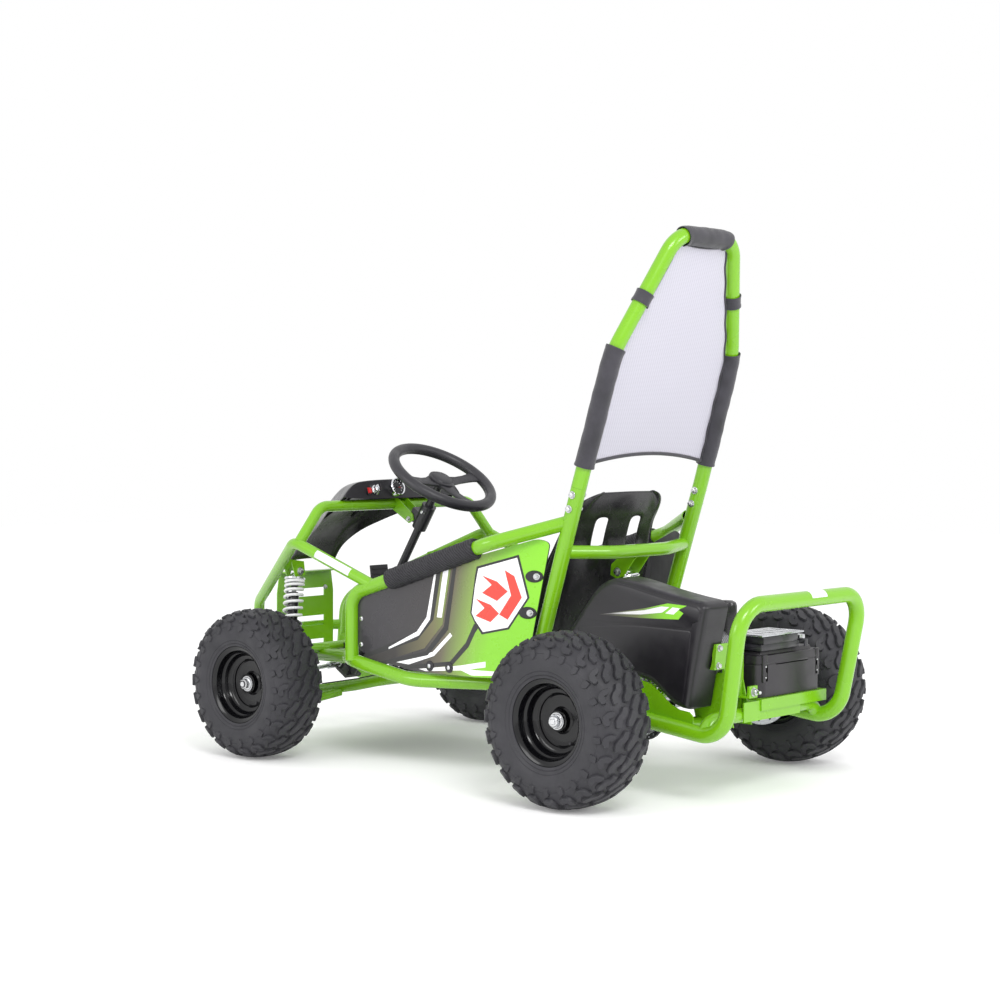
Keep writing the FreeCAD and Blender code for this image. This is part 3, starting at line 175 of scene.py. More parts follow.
surface("battery_black", srgb(40, 37, 42), 0.34, spread=0.10, cscale=14.0, bscale=700.0, bstrength=0.12, bdist=0.0002)
surface("rim", srgb(9, 9, 12), 0.20, spread=0.15, cscale=20.0, rspread=0.03, bscale=350.0, bstrength=0.03, coat=0.2, coat_rough=0.06,
        spec=0.3)
surface("grip", srgb(44, 43, 48), 0.42, spread=0.06, cscale=20.0, bscale=1100.0, bstrength=0.30, bdist=0.0002)
surface("pedal_rubber", srgb(36, 35, 39), 0.62, spread=0.12, cscale=30.0, bscale=600.0, bstrength=0.3)
surface("sticker_white", srgb(244, 244, 246), 0.35, spread=0.01, cscale=30.0, bstrength=0.0)
surface("decal_white", srgb(246, 246, 248), 0.30, spread=0.01, cscale=20.0, bstrength=0.0, coat=0.2)
surface("decal_lime", srgb(136, 214, 40), 0.30, spread=0.03, cscale=10.0, bstrength=0.0, coat=0.2)
surface("decal_red", srgb(238, 70, 58), 0.30, spread=0.02, cscale=20.0, bstrength=0.0, coat=0.2)
surface("decal_line", srgb(40, 40, 40), 0.35, spread=0.05, cscale=20.0, bstrength=0.0, coat=0.2)
surface("red_plastic", srgb(196, 30, 30), 0.25, spread=0.05, cscale=40.0, bstrength=0.0)
surface("cream_plastic", srgb(226, 222, 206), 0.35, spread=0.04, cscale=40.0, bstrength=0.05)
surface("dial_face", srgb(16, 16, 18), 0.3, spread=0.05, cscale=40.0, bstrength=0.0)
surface("wire_insulation", srgb(22, 22, 24), 0.4, spread=0.05, cscale=60.0, bstrength=0.0)


def tyre_material():
    m, t, p = nodes_of("tyre")
    vec = obj_coords(t)
    n1 = noise(t, vec, 9.0, 5.0, 0.6)
    c = ramp(t, n1, [(0.3, srgb(38, 38, 42)), (0.72, srgb(52, 51, 56))])
    t.links.new(c, p.inputs["Base Color"])
    t.links.new(mapr(t, noise(t, vec, 34.0, 4.0), 0.46, 0.66, 0.3, 0.7), p.inputs["Roughness"])
    p.inputs["Specular IOR Level"].default_value = 0.42
    bump(t, p, noise(t, vec, 420.0, 4.0, 0.65), 0.35, 0.0004)


def foam_material():
    """Corded cloth: close diagonal ribs that wander; the colour is painted darker in the troughs between ribs as shade.
    """
    m, t, p = nodes_of("foam")
    vec = obj_coords(t)
    mp = t.nodes.new("ShaderNodeMapping")
    mp.inputs["Rotation"].default_value = (0.0, math.radians(-52), 0.0)
    t.links.new(vec, mp.inputs["Vector"])
    w = t.nodes.new("ShaderNodeTexWave")
    w.wave_type = "BANDS"
    w.bands_direction = "X"
    w.inputs["Scale"].default_value = 58.0
    w.inputs["Distortion"].default_value = 3.4
    w.inputs["Detail"].default_value = 3.0
    w.inputs["Detail Scale"].default_value = 1.4
    t.links.new(mp.outputs["Vector"], w.inputs["Vector"])
    # painted shade: the colour follows the rib height, darker in the troughs and lighter on the ridges
    c = ramp(t, w.outputs["Fac"], [(0.0, srgb(24, 23, 27)), (1.0, srgb(50, 49, 54))])
    t.links.new(c, p.inputs["Base Color"])
    t.links.new(mapr(t, noise(t, vec, 60.0), 0.62, 0.82, 0.3, 0.7), p.inputs["Roughness"])
    bump(t, p, w.outputs["Fac"], 0.75, 0.0016)


def cloth_material():
    """Woven nylon: two fine thread directions and soft creases."""
    m, t, p = nodes_of("cloth")
    vec = obj_coords(t)
    waves = []
    for turn in (0.0, 90.0):
        mp = t.nodes.new("ShaderNodeMapping")
        mp.inputs["Rotation"].default_value = (math.radians(turn), math.radians(17), 0.0)
        t.links.new(vec, mp.inputs["Vector"])
        w = t.nodes.new("ShaderNodeTexWave")
        w.bands_direction = "Z"
        w.inputs["Scale"].default_value = 420.0
        w.inputs["Distortion"].default_value = 0.6
        t.links.new(mp.outputs["Vector"], w.inputs["Vector"])
        waves.append(w.outputs["Fac"])
    mx = t.nodes.new("ShaderNodeMath")
    mx.operation = "MULTIPLY"
    t.links.new(waves[0], mx.inputs[0])
    t.links.new(waves[1], mx.inputs[1])
    c = ramp(t, noise(t, vec, 22.0, 4.0), [(0.3, srgb(38, 37, 43)), (0.7, srgb(56, 54, 62))])
    t.links.new(c, p.inputs["Base Color"])
    t.links.new(mapr(t, mx.outputs["Value"], 0.62, 0.84), p.inputs["Roughness"])
    p.inputs["Sheen Weight"].default_value = 0.25
    p.inputs["Sheen Roughness"].default_value = 0.5
    bump(t, p, mx.outputs["Value"], 0.35, 0.0003)


def net_material():
    """Fine mesh cloth seen as a light veil with thread lines."""
    m, t, p = nodes_of("net")
    vec = obj_coords(t)
    mp = t.nodes.new("ShaderNodeMapping")
    mp.inputs["Rotation"].default_value = (0.0, math.radians(0), 0.0)
    t.links.new(vec, mp.inputs["Vector"])
    w = t.nodes.new("ShaderNodeTexWave")
    w.bands_direction = "Y"
    w.inputs["Scale"].default_value = 46.0
    w.inputs["Distortion"].default_value = 0.0
    t.links.new(mp.outputs["Vector"], w.inputs["Vector"])
    w2 = t.nodes.new("ShaderNodeTexWave")
    w2.bands_direction = "Z"
    w2.inputs["Scale"].default_value = 120.0
    t.links.new(mp.outputs["Vector"], w2.inputs["Vector"])
    mx = t.nodes.new("ShaderNodeMath")
    mx.operation = "MAXIMUM"
    t.links.new(w.outputs["Fac"], mx.inputs[0])
    t.links.new(w2.outputs["Fac"], mx.inputs[1])
    c = ramp(t, mx.outputs["Value"], [(0.2, srgb(180, 178, 190)), (0.9, srgb(206, 204, 216))])
    t.links.new(c, p.inputs["Base Color"])
    p.inputs["Roughness"].default_value = 0.7
    p.inputs["Alpha"].default_value = 0.74
    bump(t, p, mx.outputs["Value"], 0.2, 0.0002)


def panel_material():
    """Print on the side panel: charcoal at the front, brown olive, then lime at the rear."""
    m, t, p = nodes_of("panel_print")
    vec = obj_coords(t)
    sep = t.nodes.new("ShaderNodeSeparateXYZ")
    t.links.new(vec, sep.inputs[0])
    comb = t.nodes.new("ShaderNodeMath")
    comb.operation = "MULTIPLY_ADD"
    t.links.new(sep.outputs["Z"], comb.inputs[0])
    comb.inputs[1].default_value = 0.25
    t.links.new(sep.outputs["X"], comb.inputs[2])
    fac = mapr(t, comb.outputs["Value"], 0.0, 1.0, 0.22, -0.16)
    c = ramp(t, fac, [(0.0, srgb(48, 46, 50)), (0.36, srgb(52, 49, 50)), (0.50, srgb(98, 92, 74)),
                      (0.64, srgb(128, 156, 72)), (0.80, srgb(134, 206, 46)), (1.0, srgb(138, 216, 42))])
    t.links.new(c, p.inputs["Base Color"])
    t.links.new(mapr(t, noise(t, vec, 40.0), 0.24, 0.36, 0.3, 0.7), p.inputs["Roughness"])
    p.inputs["Coat Weight"].default_value = 0.25
    bump(t, p, noise(t, vec, 500.0), 0.05, 0.0002)


def fade_material(name, x0, x1, stops):
    """Print that changes colour along the kart between x0 and x1, metres."""
    m, t, p = nodes_of(name)
    vec = obj_coords(t)
    sep = t.nodes.new("ShaderNodeSeparateXYZ")
    t.links.new(vec, sep.inputs[0])
    c = ramp(t, mapr(t, sep.outputs["X"], 0.0, 1.0, x0, x1), stops)
    t.links.new(c, p.inputs["Base Color"])
    t.links.new(mapr(t, noise(t, vec, 40.0), 0.28, 0.40, 0.3, 0.7), p.inputs["Roughness"])


tyre_material()
foam_material()
cloth_material()
net_material()
panel_material()
fade_material("cover_lime", -0.40, -0.60, [(0.0, srgb(62, 60, 58)), (0.35, srgb(104, 112, 70)), (0.7, srgb(134, 206, 50)),
                                           (1.0, srgb(138, 216, 42))])
fade_material("cover_white", -0.40, -0.58, [(0.0, srgb(120, 118, 118)), (0.25, srgb(226, 226, 226)), (1.0, srgb(246, 246, 248))])
fade_material("panel_olive", 0.10, -0.12, [(0.0, srgb(56, 53, 52)), (0.5, srgb(112, 108, 78)), (1.0, srgb(134, 176, 66))])

# ------------------------------------------------------------------ mesh helpers, working in millimetres


def new_bm():
    return bmesh.new()


def make(name, bm, mats, body, replaces=(), angle=38.0, smooth=True, bevel=0.0, segs=2, subdiv=0, recalc=True):
    for v in bm.verts:
        v.co *= MM
    if recalc:
        bmesh.ops.recalc_face_normals(bm, faces=bm.faces[:])
    me = bpy.data.meshes.new(name)
    bm.to_mesh(me)
    bm.free()
    for m in ([mats] if isinstance(mats, str) else mats):
        me.materials.append(MATS[m])
    if smooth:
        me.shade_smooth()
        me.set_sharp_from_angle(angle=math.radians(angle))
    ob = bpy.data.objects.new(name, me)
    scene.collection.objects.link(ob)
    if bevel:
        b = ob.modifiers.new("edge", "BEVEL")
        b.width = bevel * MM
        b.segments = segs
        b.limit_method = "ANGLE"
        b.angle_limit = math.radians(30)
        b.harden_normals = False
    if subdiv:
        s = ob.modifiers.new("round", "SUBSURF")
        s.levels = s.render_levels = subdiv
    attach(ob, body)
    if replaces:
        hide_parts(*replaces)
    return ob


def frame_of(n):
    """Two unit vectors square to n."""
    n = n.normalized()
    a = Vector((0, 0, 1)) if abs(n.z) < 0.9 else Vector((1, 0, 0))
    e1 = n.cross(a).normalized()
    return e1, n.cross(e1).normalized()


def lathe(bm, prof, centre, axis, segs=48, mat=0, closed=False, e1=None):
    """Revolve (radius, along) about axis; closed joins the profile's last point to its first."""
    axis = axis.normalized()
    if e1 is None:
        e1, e2 = frame_of(axis)
    else:
        e2 = axis.cross(e1).normalized()
    rings = []
    for r, a in prof:
        if r < 1e-6:
            rings.append([bm.verts.new(centre + axis * a)])
        else:
            rings.append([bm.verts.new(centre + axis * a + (e1 * math.cos(k) + e2 * math.sin(k)) * r)
                          for k in (2 * math.pi * i / segs for i in range(segs))])
    pairs = list(zip(rings, rings[1:]))
    if closed:
        pairs.append((rings[-1], rings[0]))
    for p, q in pairs:
        for i in range(segs):
            j = (i + 1) % segs
            vs = []
            for v in ((p[i], p[j]) if len(p) > 1 else (p[0],)):
                vs.append(v)
            for v in ((q[j], q[i]) if len(q) > 1 else (q[0],)):
                vs.append(v)
            if len(vs) >= 3:
                f = bm.faces.new(vs)
                f.material_index = mat
    return rings


def tube(bm, pts, r, n=14, closed=False, caps=True, mat=0, up_hint=None):
    """Round tube along points; r is a number or one per point."""
    rs = r if isinstance(r, (list, tuple)) else [r] * len(pts)
    m = len(pts)
    tang = []
    for i in range(m):
        if closed:
            d = pts[(i + 1) % m] - pts[i - 1]
        else:
            d = pts[min(i + 1, m - 1)] - pts[max(i - 1, 0)]
        tang.append(d.normalized())
    e1, _ = frame_of(tang[0])
    if up_hint is not None:
        e1 = (up_hint - tang[0] * up_hint.dot(tang[0])).normalized()
    rings = []
    for i in range(m):
        e1 = (e1 - tang[i] * e1.dot(tang[i])).normalized()
        e2 = tang[i].cross(e1)
        rings.append([bm.verts.new(pts[i] + (e1 * math.cos(k) + e2 * math.sin(k)) * rs[i])
                      for k in (2 * math.pi * j / n for j in range(n))])
    pairs = list(zip(rings, rings[1:]))
    if closed:
        pairs.append((rings[-1], rings[0]))
    for p, q in pairs:
        for i in range(n):
            f = bm.faces.new((p[i], p[(i + 1) % n], q[(i + 1) % n], q[i]))
            f.material_index = mat
    if caps and not closed:
        f = bm.faces.new(list(reversed(rings[0])))
        f.material_index = mat
        f = bm.faces.new(rings[-1])
        f.material_index = mat
    return rings


def slab(bm, outline, origin, ex, ey, ez, lo, hi, mat=0, inset_top=0.0, side_mat=None):
    """Polygon (list of 2-D points in ex, ey) extruded from lo to hi along ez."""
    cx = sum(p[0] for p in outline) / len(outline)
    cy = sum(p[1] for p in outline) / len(outline)
    bot, top = [], []
    for x, y in outline:
        bot.append(bm.verts.new(origin + ex * x + ey * y + ez * lo))
        d = math.hypot(x - cx, y - cy) or 1.0
        k = max(d - inset_top, 0.0) / d
        top.append(bm.verts.new(origin + ex * (cx + (x - cx) * k) + ey * (cy + (y - cy) * k) + ez * hi))
    f = bm.faces.new(top)
    f.material_index = mat
    f = bm.faces.new(list(reversed(bot)))
    f.material_index = mat if side_mat is None else side_mat
    n = len(outline)
    for i in range(n):
        f = bm.faces.new((bot[i], bot[(i + 1) % n], top[(i + 1) % n], top[i]))
        f.material_index = mat if side_mat is None else side_mat


def rounded(points, radius, seg=4):
    """2-D polygon with its corners rounded."""
    out, n = [], len(points)
    for i in range(n):
        p0, p1, p2 = Vector(points[i - 1]), Vector(points[i]), Vector(points[(i + 1) % n])
        r = radius[i] if isinstance(radius, (list, tuple)) else radius
        a, b = p0 - p1, p2 - p1
        if r <= 0 or a.length < 1e-6 or b.length < 1e-6:
            out.append(tuple(p1))
            continue
        t = min(r, a.length * 0.48, b.length * 0.48)
        s, e = p1 + a.normalized() * t, p1 + b.normalized() * t
        for k in range(seg + 1):
            u = k / seg
            q = s * (1 - u) ** 2 + p1 * 2 * u * (1 - u) + e * u * u
            out.append((q.x, q.y))
    return out


def block(bm, lo, hi, mat=0, chamfer=0.0, segs=2):
    """Box with rounded edges."""
    tmp = bmesh.new()
    vs = [tmp.verts.new((x, y, z)) for x in (lo[0], hi[0]) for y in (lo[1], hi[1]) for z in (lo[2], hi[2])]
    for idx in ((0, 1, 3, 2), (4, 6, 7, 5), (0, 4, 5, 1), (2, 3, 7, 6), (0, 2, 6, 4), (1, 5, 7, 3)):
        tmp.faces.new([vs[i] for i in idx])
    if chamfer:
        bmesh.ops.bevel(tmp, geom=tmp.edges[:], offset=chamfer, segments=segs, affect="EDGES", profile=0.5)
    merge(bm, tmp, mat)


def merge(bm, tmp, mat=None, matrix=None):
    """Copy tmp's faces into bm."""
    table = {}
    for v in tmp.verts:
        table[v] = bm.verts.new(matrix @ v.co if matrix is not None else v.co)
    for f in tmp.faces:
        g = bm.faces.new([table[v] for v in f.verts])
        g.material_index = f.material_index if mat is None else mat
    tmp.free()


def hexagon(r, turn=0.0):
    return [(r * math.cos(turn + k * math.pi / 3), r * math.sin(turn + k * math.pi / 3)) for k in range(6)]


def bolt(bm, pos, n, af=10.0, head=5.5, washer=8.5, dome=True, mat=0, tail=0.0, turn=0.3):
    """Washer, hex head with a chamfer and a domed top or thread end."""
    n = n.normalized()
    e1, e2 = frame_of(n)
    wt = 1.4 if washer else 0.0
    if washer:
        lathe(bm, [(0, 0), (washer - 0.3, 0), (washer, 0.3), (washer, wt - 0.3), (washer - 0.3, wt), (0, wt)], pos, n, 24, mat)
    r = af / 2 / math.cos(math.pi / 6)
    slab(bm, hexagon(r, turn), pos, e1, e2, n, wt, wt + head - 1.0, mat)
    lathe(bm, [(0, wt + head - 1.0), (r * 0.93, wt + head - 1.0), (r * 0.84, wt + head), (r * 0.5, wt + head + (0.4 if dome else 0)),
               (0, wt + head + (0.5 if dome else 0))], pos, n, 18, mat)
    if tail:
        lathe(bm, [(0, wt + head), (af * 0.30, wt + head), (af * 0.30, wt + head + tail - 1), (af * 0.24, wt + head + tail),
                   (0, wt + head + tail)], pos, n, 16, mat)


def screw(bm, pos, n, r=5.0, h=2.4, mat=0, dark=None):
    """Pan head with a cross recess cut as four short slots."""
    n = n.normalized()
    e1, e2 = frame_of(n)
    lathe(bm, [(0, 0), (r, 0), (r, h * 0.45), (r * 0.85, h * 0.8), (r * 0.5, h), (0, h)], pos, n, 20, mat)
    for k in range(2):
        a, b = (e1, e2) if k else (e2, e1)
        slab(bm, [(-r * 0.5, -r * 0.09), (r * 0.5, -r * 0.09), (r * 0.5, r * 0.09), (-r * 0.5, r * 0.09)], pos, a, b, n,
             h - 0.1, h + 0.08, mat if dark is None else dark)


def catmull(points, per=6, closed=False):
    """Smooth points through the given ones (2-D or 3-D)."""
    pts = [Vector(p) for p in points]
    n, out = len(pts), []
    rng = range(n if closed else n - 1)
    for i in rng:
        if closed:
            p0, p1, p2, p3 = pts[i - 1], pts[i], pts[(i + 1) % n], pts[(i + 2) % n]
        else:
            p0, p1, p2, p3 = pts[max(i - 1, 0)], pts[i], pts[i + 1], pts[min(i + 2, n - 1)]
        for k in range(per):
            t = k / per
            out.append(0.5 * ((2 * p1) + (p2 - p0) * t + (2 * p0 - 5 * p1 + 4 * p2 - p3) * t * t
                              + (3 * p1 - p0 - 3 * p2 + p3) * t ** 3))
    if not closed:
        out.append(pts[-1])
    return out


def route(points, radius, step=6.0):
    """Points along straight runs joined by tangent arcs."""
    out = [points[0].copy()]
    for i in range(1, len(points) - 1):
        a, b, c = points[i - 1], points[i], points[i + 1]
        u, v = (a - b), (c - b)
        room = 0.47 * min(u.length, v.length)
        u.normalize()
        v.normalize()
        half = u.angle(v) / 2.0
        want = radius[i - 1] if isinstance(radius, (list, tuple)) else radius
        reach = min(want / math.tan(half), room)
        r = reach * math.tan(half)
        bis = (u + v).normalized()
        centre = b + bis * (r / math.sin(half))
        p1, p2 = b + u * reach, b + v * reach
        w1, w2 = (p1 - centre).normalized(), (p2 - centre).normalized()
        total = w1.angle(w2)
        out.append(p1)
        count = max(3, int(total * r / step))
        axis = w1.cross(w2).normalized()
        for k in range(1, count):
            out.append(centre + (Matrix.Rotation(total * k / count, 3, axis) @ w1) * r)
        out.append(p2)
    out.append(points[-1].copy())
    dense = [out[0]]
    for a, b in zip(out, out[1:]):
        n = max(1, int((b - a).length / step))
        for k in range(1, n + 1):
            dense.append(a.lerp(b, k / n))
    return dense


def along(path):
    """Running length of a path."""
    s = [0.0]
    for a, b in zip(path, path[1:]):
        s.append(s[-1] + (b - a).length)
    return s


def cut_path(path, s0, s1):
    """Part of a path between two running lengths."""
    s = along(path)
    out = []
    for i in range(len(path) - 1):
        for target in (s0, s1):
            if s[i] <= target < s[i + 1] and target == s0:
                out.append(path[i].lerp(path[i + 1], (target - s[i]) / max(s[i + 1] - s[i], 1e-9)))
        if s0 < s[i + 1] < s1:
            out.append(path[i + 1].copy())
        if s[i] <= s1 < s[i + 1]:
            out.append(path[i].lerp(path[i + 1], (s1 - s[i]) / max(s[i + 1] - s[i], 1e-9)))
    return out


Y = Vector((0, 1, 0))
X = Vector((1, 0, 0))
Z = Vector((0, 0, 1))

# ------------------------------------------------------------------ CAD pieces that keep their shape
KEEP = {
    "green": "main_hoop roll_bar side_frames front_arches dash_hoop cross_members nose_bumper nose_plate shock_brackets "
             "rear_subframe motor_mount battery_tray suspension_arms axle_bearings seat_rails",
    "black_metal": "column_support column_bearing steering_column knuckle_left knuckle_right",
    "floor_metal": "floor_pan",
    "steel": "rear_axle tie_rod_left tie_rod_right",
}
for mat_name, names in KEEP.items():
    for n in names.split():
        me = nodes[n].data
        me.materials.clear()
        me.materials.append(MATS[mat_name])

# ------------------------------------------------------------------ tyres


def tyre_section(R, half_w, rim_half):
    """Casing from the crown to the bead on one side, (radius, along)."""
    front = [(158.8, 0), (158.3, 14), (157.0, 28), (154.2, 40), (149.5, 50), (142.0, 57.5), (132.0, 62.3), (120.0, 64.6),
             (108.0, 63.8), (98.0, 61.2), (91.0, 58.9), (87.5, 58.2), (85.6, 57.4)]
    kr = (R - 84.9) / (165.0 - 84.9)
    ka = half_w / 65.5
    pts = [(84.9 + (r - 84.9) * kr, a * ka) for r, a in front]
    pts[-1] = (85.3, rim_half + 1.2)
    pts[-2] = (87.6, rim_half + 2.0)
    return pts


def tyre(name, centre, side, R, half_w, rim_half, body, node, pitches):
    half = tyre_section(R, half_w, rim_half)
    fine = catmull([(r, a, 0) for r, a in half], 4)
    bm = new_bm()
    outer = [(p.x, p.y) for p in fine]
    bead = [(84.9, rim_half - 3.4), (79.0, rim_half - 6.0), (77.6, rim_half - 10.0), (78.5, rim_half - 15)]
    prof = list(reversed([(r, -a) for r, a in bead])) + list(reversed([(r, -a) for r, a in outer]))[:-1] + outer + bead
    lathe(bm, prof, centre, Y, 120, 0)
    # thin moulded rings on the sidewall
    for sgn in (1, -1):
        for rr, aa, h in ((91.5, 0.4, 0.9), (97.5, 0.5, 0.7), (128.0, 0.35, 0.6)):
            r0 = 84.9 + (rr - 84.9) * (R - 84.9) / 80.1
            i = min(range(len(outer)), key=lambda k: abs(outer[k][0] - r0) + (1000 if k < len(outer) * 0.4 else 0))
            pr, pa = outer[i]
            lathe(bm, [(pr - 1.2, sgn * (pa - 0.6)), (pr, sgn * (pa + h)), (pr + 1.2, sgn * (pa - 0.6))], centre, Y, 120, 0)
    # running length over the section, with normals
    s = [0.0]
    for a, b in zip(fine, fine[1:]):
        s.append(s[-1] + (b - a).length)

    def at(sv, h, sgn):
        sv = max(0.0, min(sv, s[-1] - 0.01))
        i = max(k for k in range(len(s) - 1) if s[k] <= sv)
        t = (sv - s[i]) / (s[i + 1] - s[i])
        p = fine[i].lerp(fine[i + 1], t)
        d = (fine[i + 1] - fine[i]).normalized()
        n = Vector((d.y, -d.x, 0))
        if n.x < 0 and sv < 20:
            n = -n
        if n.dot(Vector((p.x - 110, p.y, 0))) < 0:
            n = -n
        q = p + n * h
        return q.x, q.y * sgn

    k = half_w / 65.5
    top = R - 158.8 * 0 - (84.9 + (158.8 - 84.9) * (R - 84.9) / 80.1)
    # lugs as (circumference, section length) polygons, with a height
    LUGS = (
        ([(-16, -5), (-4, -7), (9, 2), (19, 12), (17, 21), (6, 20), (-3, 12), (-14, 7)], top - 0.2, 1.5),
        ([(-21, 17), (-9, 19), (1, 26), (6, 34), (18, 36), (20, 45), (4, 46), (-5, 41), (-12, 32), (-22, 28)], top - 0.4, 1.5),
        ([(-16, 44), (-6, 47), (-2, 56), (12, 55), (15, 62), (3, 67), (-9, 65), (-17, 56)], top + 0.1, 1.6),
        ([(-8, 71), (7, 68), (11, 80), (2, 87), (-7, 84)], 3.0, 1.2),
    )
    for i in range(pitches):
        for sgn in (1, -1):
            base = 2 * math.pi * (i + (0.5 if sgn < 0 else 0.0)) / pitches
            for poly, h, taper in LUGS:
                pts = []
                m = len(poly)
                cx = sum(c for c, _ in poly) / m
                cs = sum(q for _, q in poly) / m
                rp = rounded(poly, 3.0, 2)
                dense = []
                for a, b in zip(rp, rp[1:] + rp[:1]):
                    dist = math.hypot(b[0] - a[0], b[1] - a[1])
                    cnt = max(1, int(dist / 5.0))
                    for q in range(cnt):
                        u = q / cnt
                        dense.append((a[0] + (b[0] - a[0]) * u, a[1] + (b[1] - a[1]) * u))
                low, mid, tp = [], [], []
                for c, sv in dense:
                    d = math.hypot(c - cx, sv - cs) or 1.0
                    for store, hh, ins in ((low, -0.8, -0.8), (mid, h - 0.9, taper * 0.4), (tp, h, taper)):
                        kk = (d - ins) / d
                        cc, ss = cx + (c - cx) * kk, cs + (sv - cs) * kk
                        hq = hh
                        if ss < 0:
                            r, a = at(-ss * k, hq, -sgn)
                        else:
                            r, a = at(ss * k, hq, sgn)
                        ang = base + sgn * cc / R
                        store.append(bm.verts.new(centre + Y * a + V(math.cos(ang) * r, 0, math.sin(ang) * r)))
                nn = len(dense)
                for p, q in ((low, mid), (mid, tp)):
                    for j in range(nn):
                        bm.faces.new((p[j], p[(j + 1) % nn], q[(j + 1) % nn], q[j]))
                bm.faces.new(tp)
    ob = make(name, bm, "tyre", body, (node,), angle=34)
    return ob


def rim(name, centre, side, rim_half, body, node, bore, hub_out):
    out = Y * side
    h = rim_half
    half = [
        (bore, hub_out), (19.5, hub_out), (21.0, hub_out - 1.5), (21.5, 20.0), (23.0, 15.0), (27.0, 12.4), (34.0, 12.0), (44.0, 12.6),
        (49.0, 13.4), (51.5, 15.5), (52.5, 18.5), (54.5, 20.0), (57.5, 20.3), (61.5, 21.5), (64.2, 24.0), (65.6, 28.0),
        (66.6, h - 26.0), (68.2, h - 22.5), (71.5, h - 20.0), (73.4, h - 16.5), (74.3, h - 8.0), (75.2, h - 4.6), (77.6, h - 2.6),
        (80.6, h - 1.4), (82.6, h - 0.4), (84.0, h), (84.3, h - 0.7), (83.8, h - 1.8), (81.0, h - 3.0), (78.4, h - 4.6), (77.2, h - 6.4),
        (77.0, h - 24.0), (70.5, h - 31.0), (70.5, -(h - 31.0)), (77.0, -(h - 24.0)), (77.2, -(h - 6.4)), (78.4, -(h - 4.6)),
        (81.0, -(h - 3.0)), (83.8, -(h - 1.8)), (84.3, -(h - 0.7)), (84.0, -h), (82.6, -(h - 0.4)), (80.6, -(h - 1.4)),
        (77.6, -(h - 2.6)), (75.2, -(h - 4.6)), (74.3, -(h - 8.0)), (73.4, -(h - 16.5)), (68.4, -(h - 28.0)), (68.0, 4.0),
        (60.0, 9.0), (40.0, 7.0), (26.0, 6.0), (22.0, 0.0), (21.5, -34.0), (19.5, -36.0), (bore, -36.0),
    ]
    bm = new_bm()
    lathe(bm, half, centre, out, 96, 0, closed=True)
    e1, e2 = frame_of(out)
    # valve stem
    p = centre + (e1 * math.cos(2.4) + e2 * math.sin(2.4)) * 62.0 + out * 21.0
    lathe(bm, [(0, 0), (4.6, 0), (4.0, 3.0), (3.0, 5.0), (2.8, 13.0), (3.3, 13.6), (3.3, 18.0), (2.2, 19.4), (0, 19.4)], p,
          (out - (e1 * math.cos(2.4) + e2 * math.sin(2.4)) * 0.35).normalized(), 16, 1)
    return make(name, bm, ["rim", "pedal_rubber"], body, (node,), angle=28)


def hub_nut(name, centre, side, start, body, big=True):
    """Washer, flanged nut and stud end in the middle of a rim."""
    out = Y * side
    c = centre + out * start
    bm = new_bm()
    lathe(bm, [(0, 0), (16.5, 0), (17.2, 0.6), (17.2, 1.9), (16.5, 2.5), (0, 2.5)], c, out, 40, 0)
    lathe(bm, [(0, 2.5), (14.2, 2.5), (14.6, 3.2), (13.6, 4.4), (12.0, 5.0), (0, 5.0)], c, out, 40, 0)
    e1, e2 = frame_of(out)
    slab(bm, hexagon(11.6, 0.35), c, e1, e2, out, 5.0, 12.6, 0)
    lathe(bm, [(0, 12.6), (10.9, 12.6), (9.6, 13.9), (8.4, 14.2), (7.2, 14.0), (0, 14.0)], c, out, 30, 0)
    lathe(bm, [(0, 14.0), (6.0, 14.0), (6.0, 15.6), (5.0, 16.5), (0, 16.5)], c, out, 24, 0)
    return make(name, bm, "zinc", body, angle=30)


for word, s in (("left", 1), ("right", -1)):
    c = V(FX, s * FY, FZ)
    tyre("tread_front_" + word, c, s, 165.0, 65.5, 56.0, "front_%s_wheel" % word, "front_tyre_" + word, 22)
    rim("wheel_disc_front_" + word, c, s, 56.0, "front_%s_wheel" % word, "front_rim_" + word, 8.6, 26.0)
    hub_nut("hub_nut_front_" + word, c, s, 26.2, "front_%s_wheel" % word)
    c = V(RX, s * RY, RZ)
    tyre("tread_rear_" + word, c, s, 172.5, 70.5, 60.0, "rear_wheels", "rear_tyres", 23)
    rim("wheel_disc_rear_" + word, c, s, 60.0, "rear_wheels", "rear_rims", 12.6, 26.0)
    hub_nut("hub_nut_rear_" + word, c, s, 27.0, "rear_wheels")

# ------------------------------------------------------------------ steering wheel
TILT = math.radians(32.0)
axis_dir = Vector((-math.sin(TILT), 0, math.cos(TILT)))
side_dir = Vector((math.cos(TILT), 0, math.sin(TILT)))
wheel_c = V(243, 0, 619)


def on_column(z):
    return wheel_c + axis_dir * ((z - wheel_c.z) / axis_dir.z)


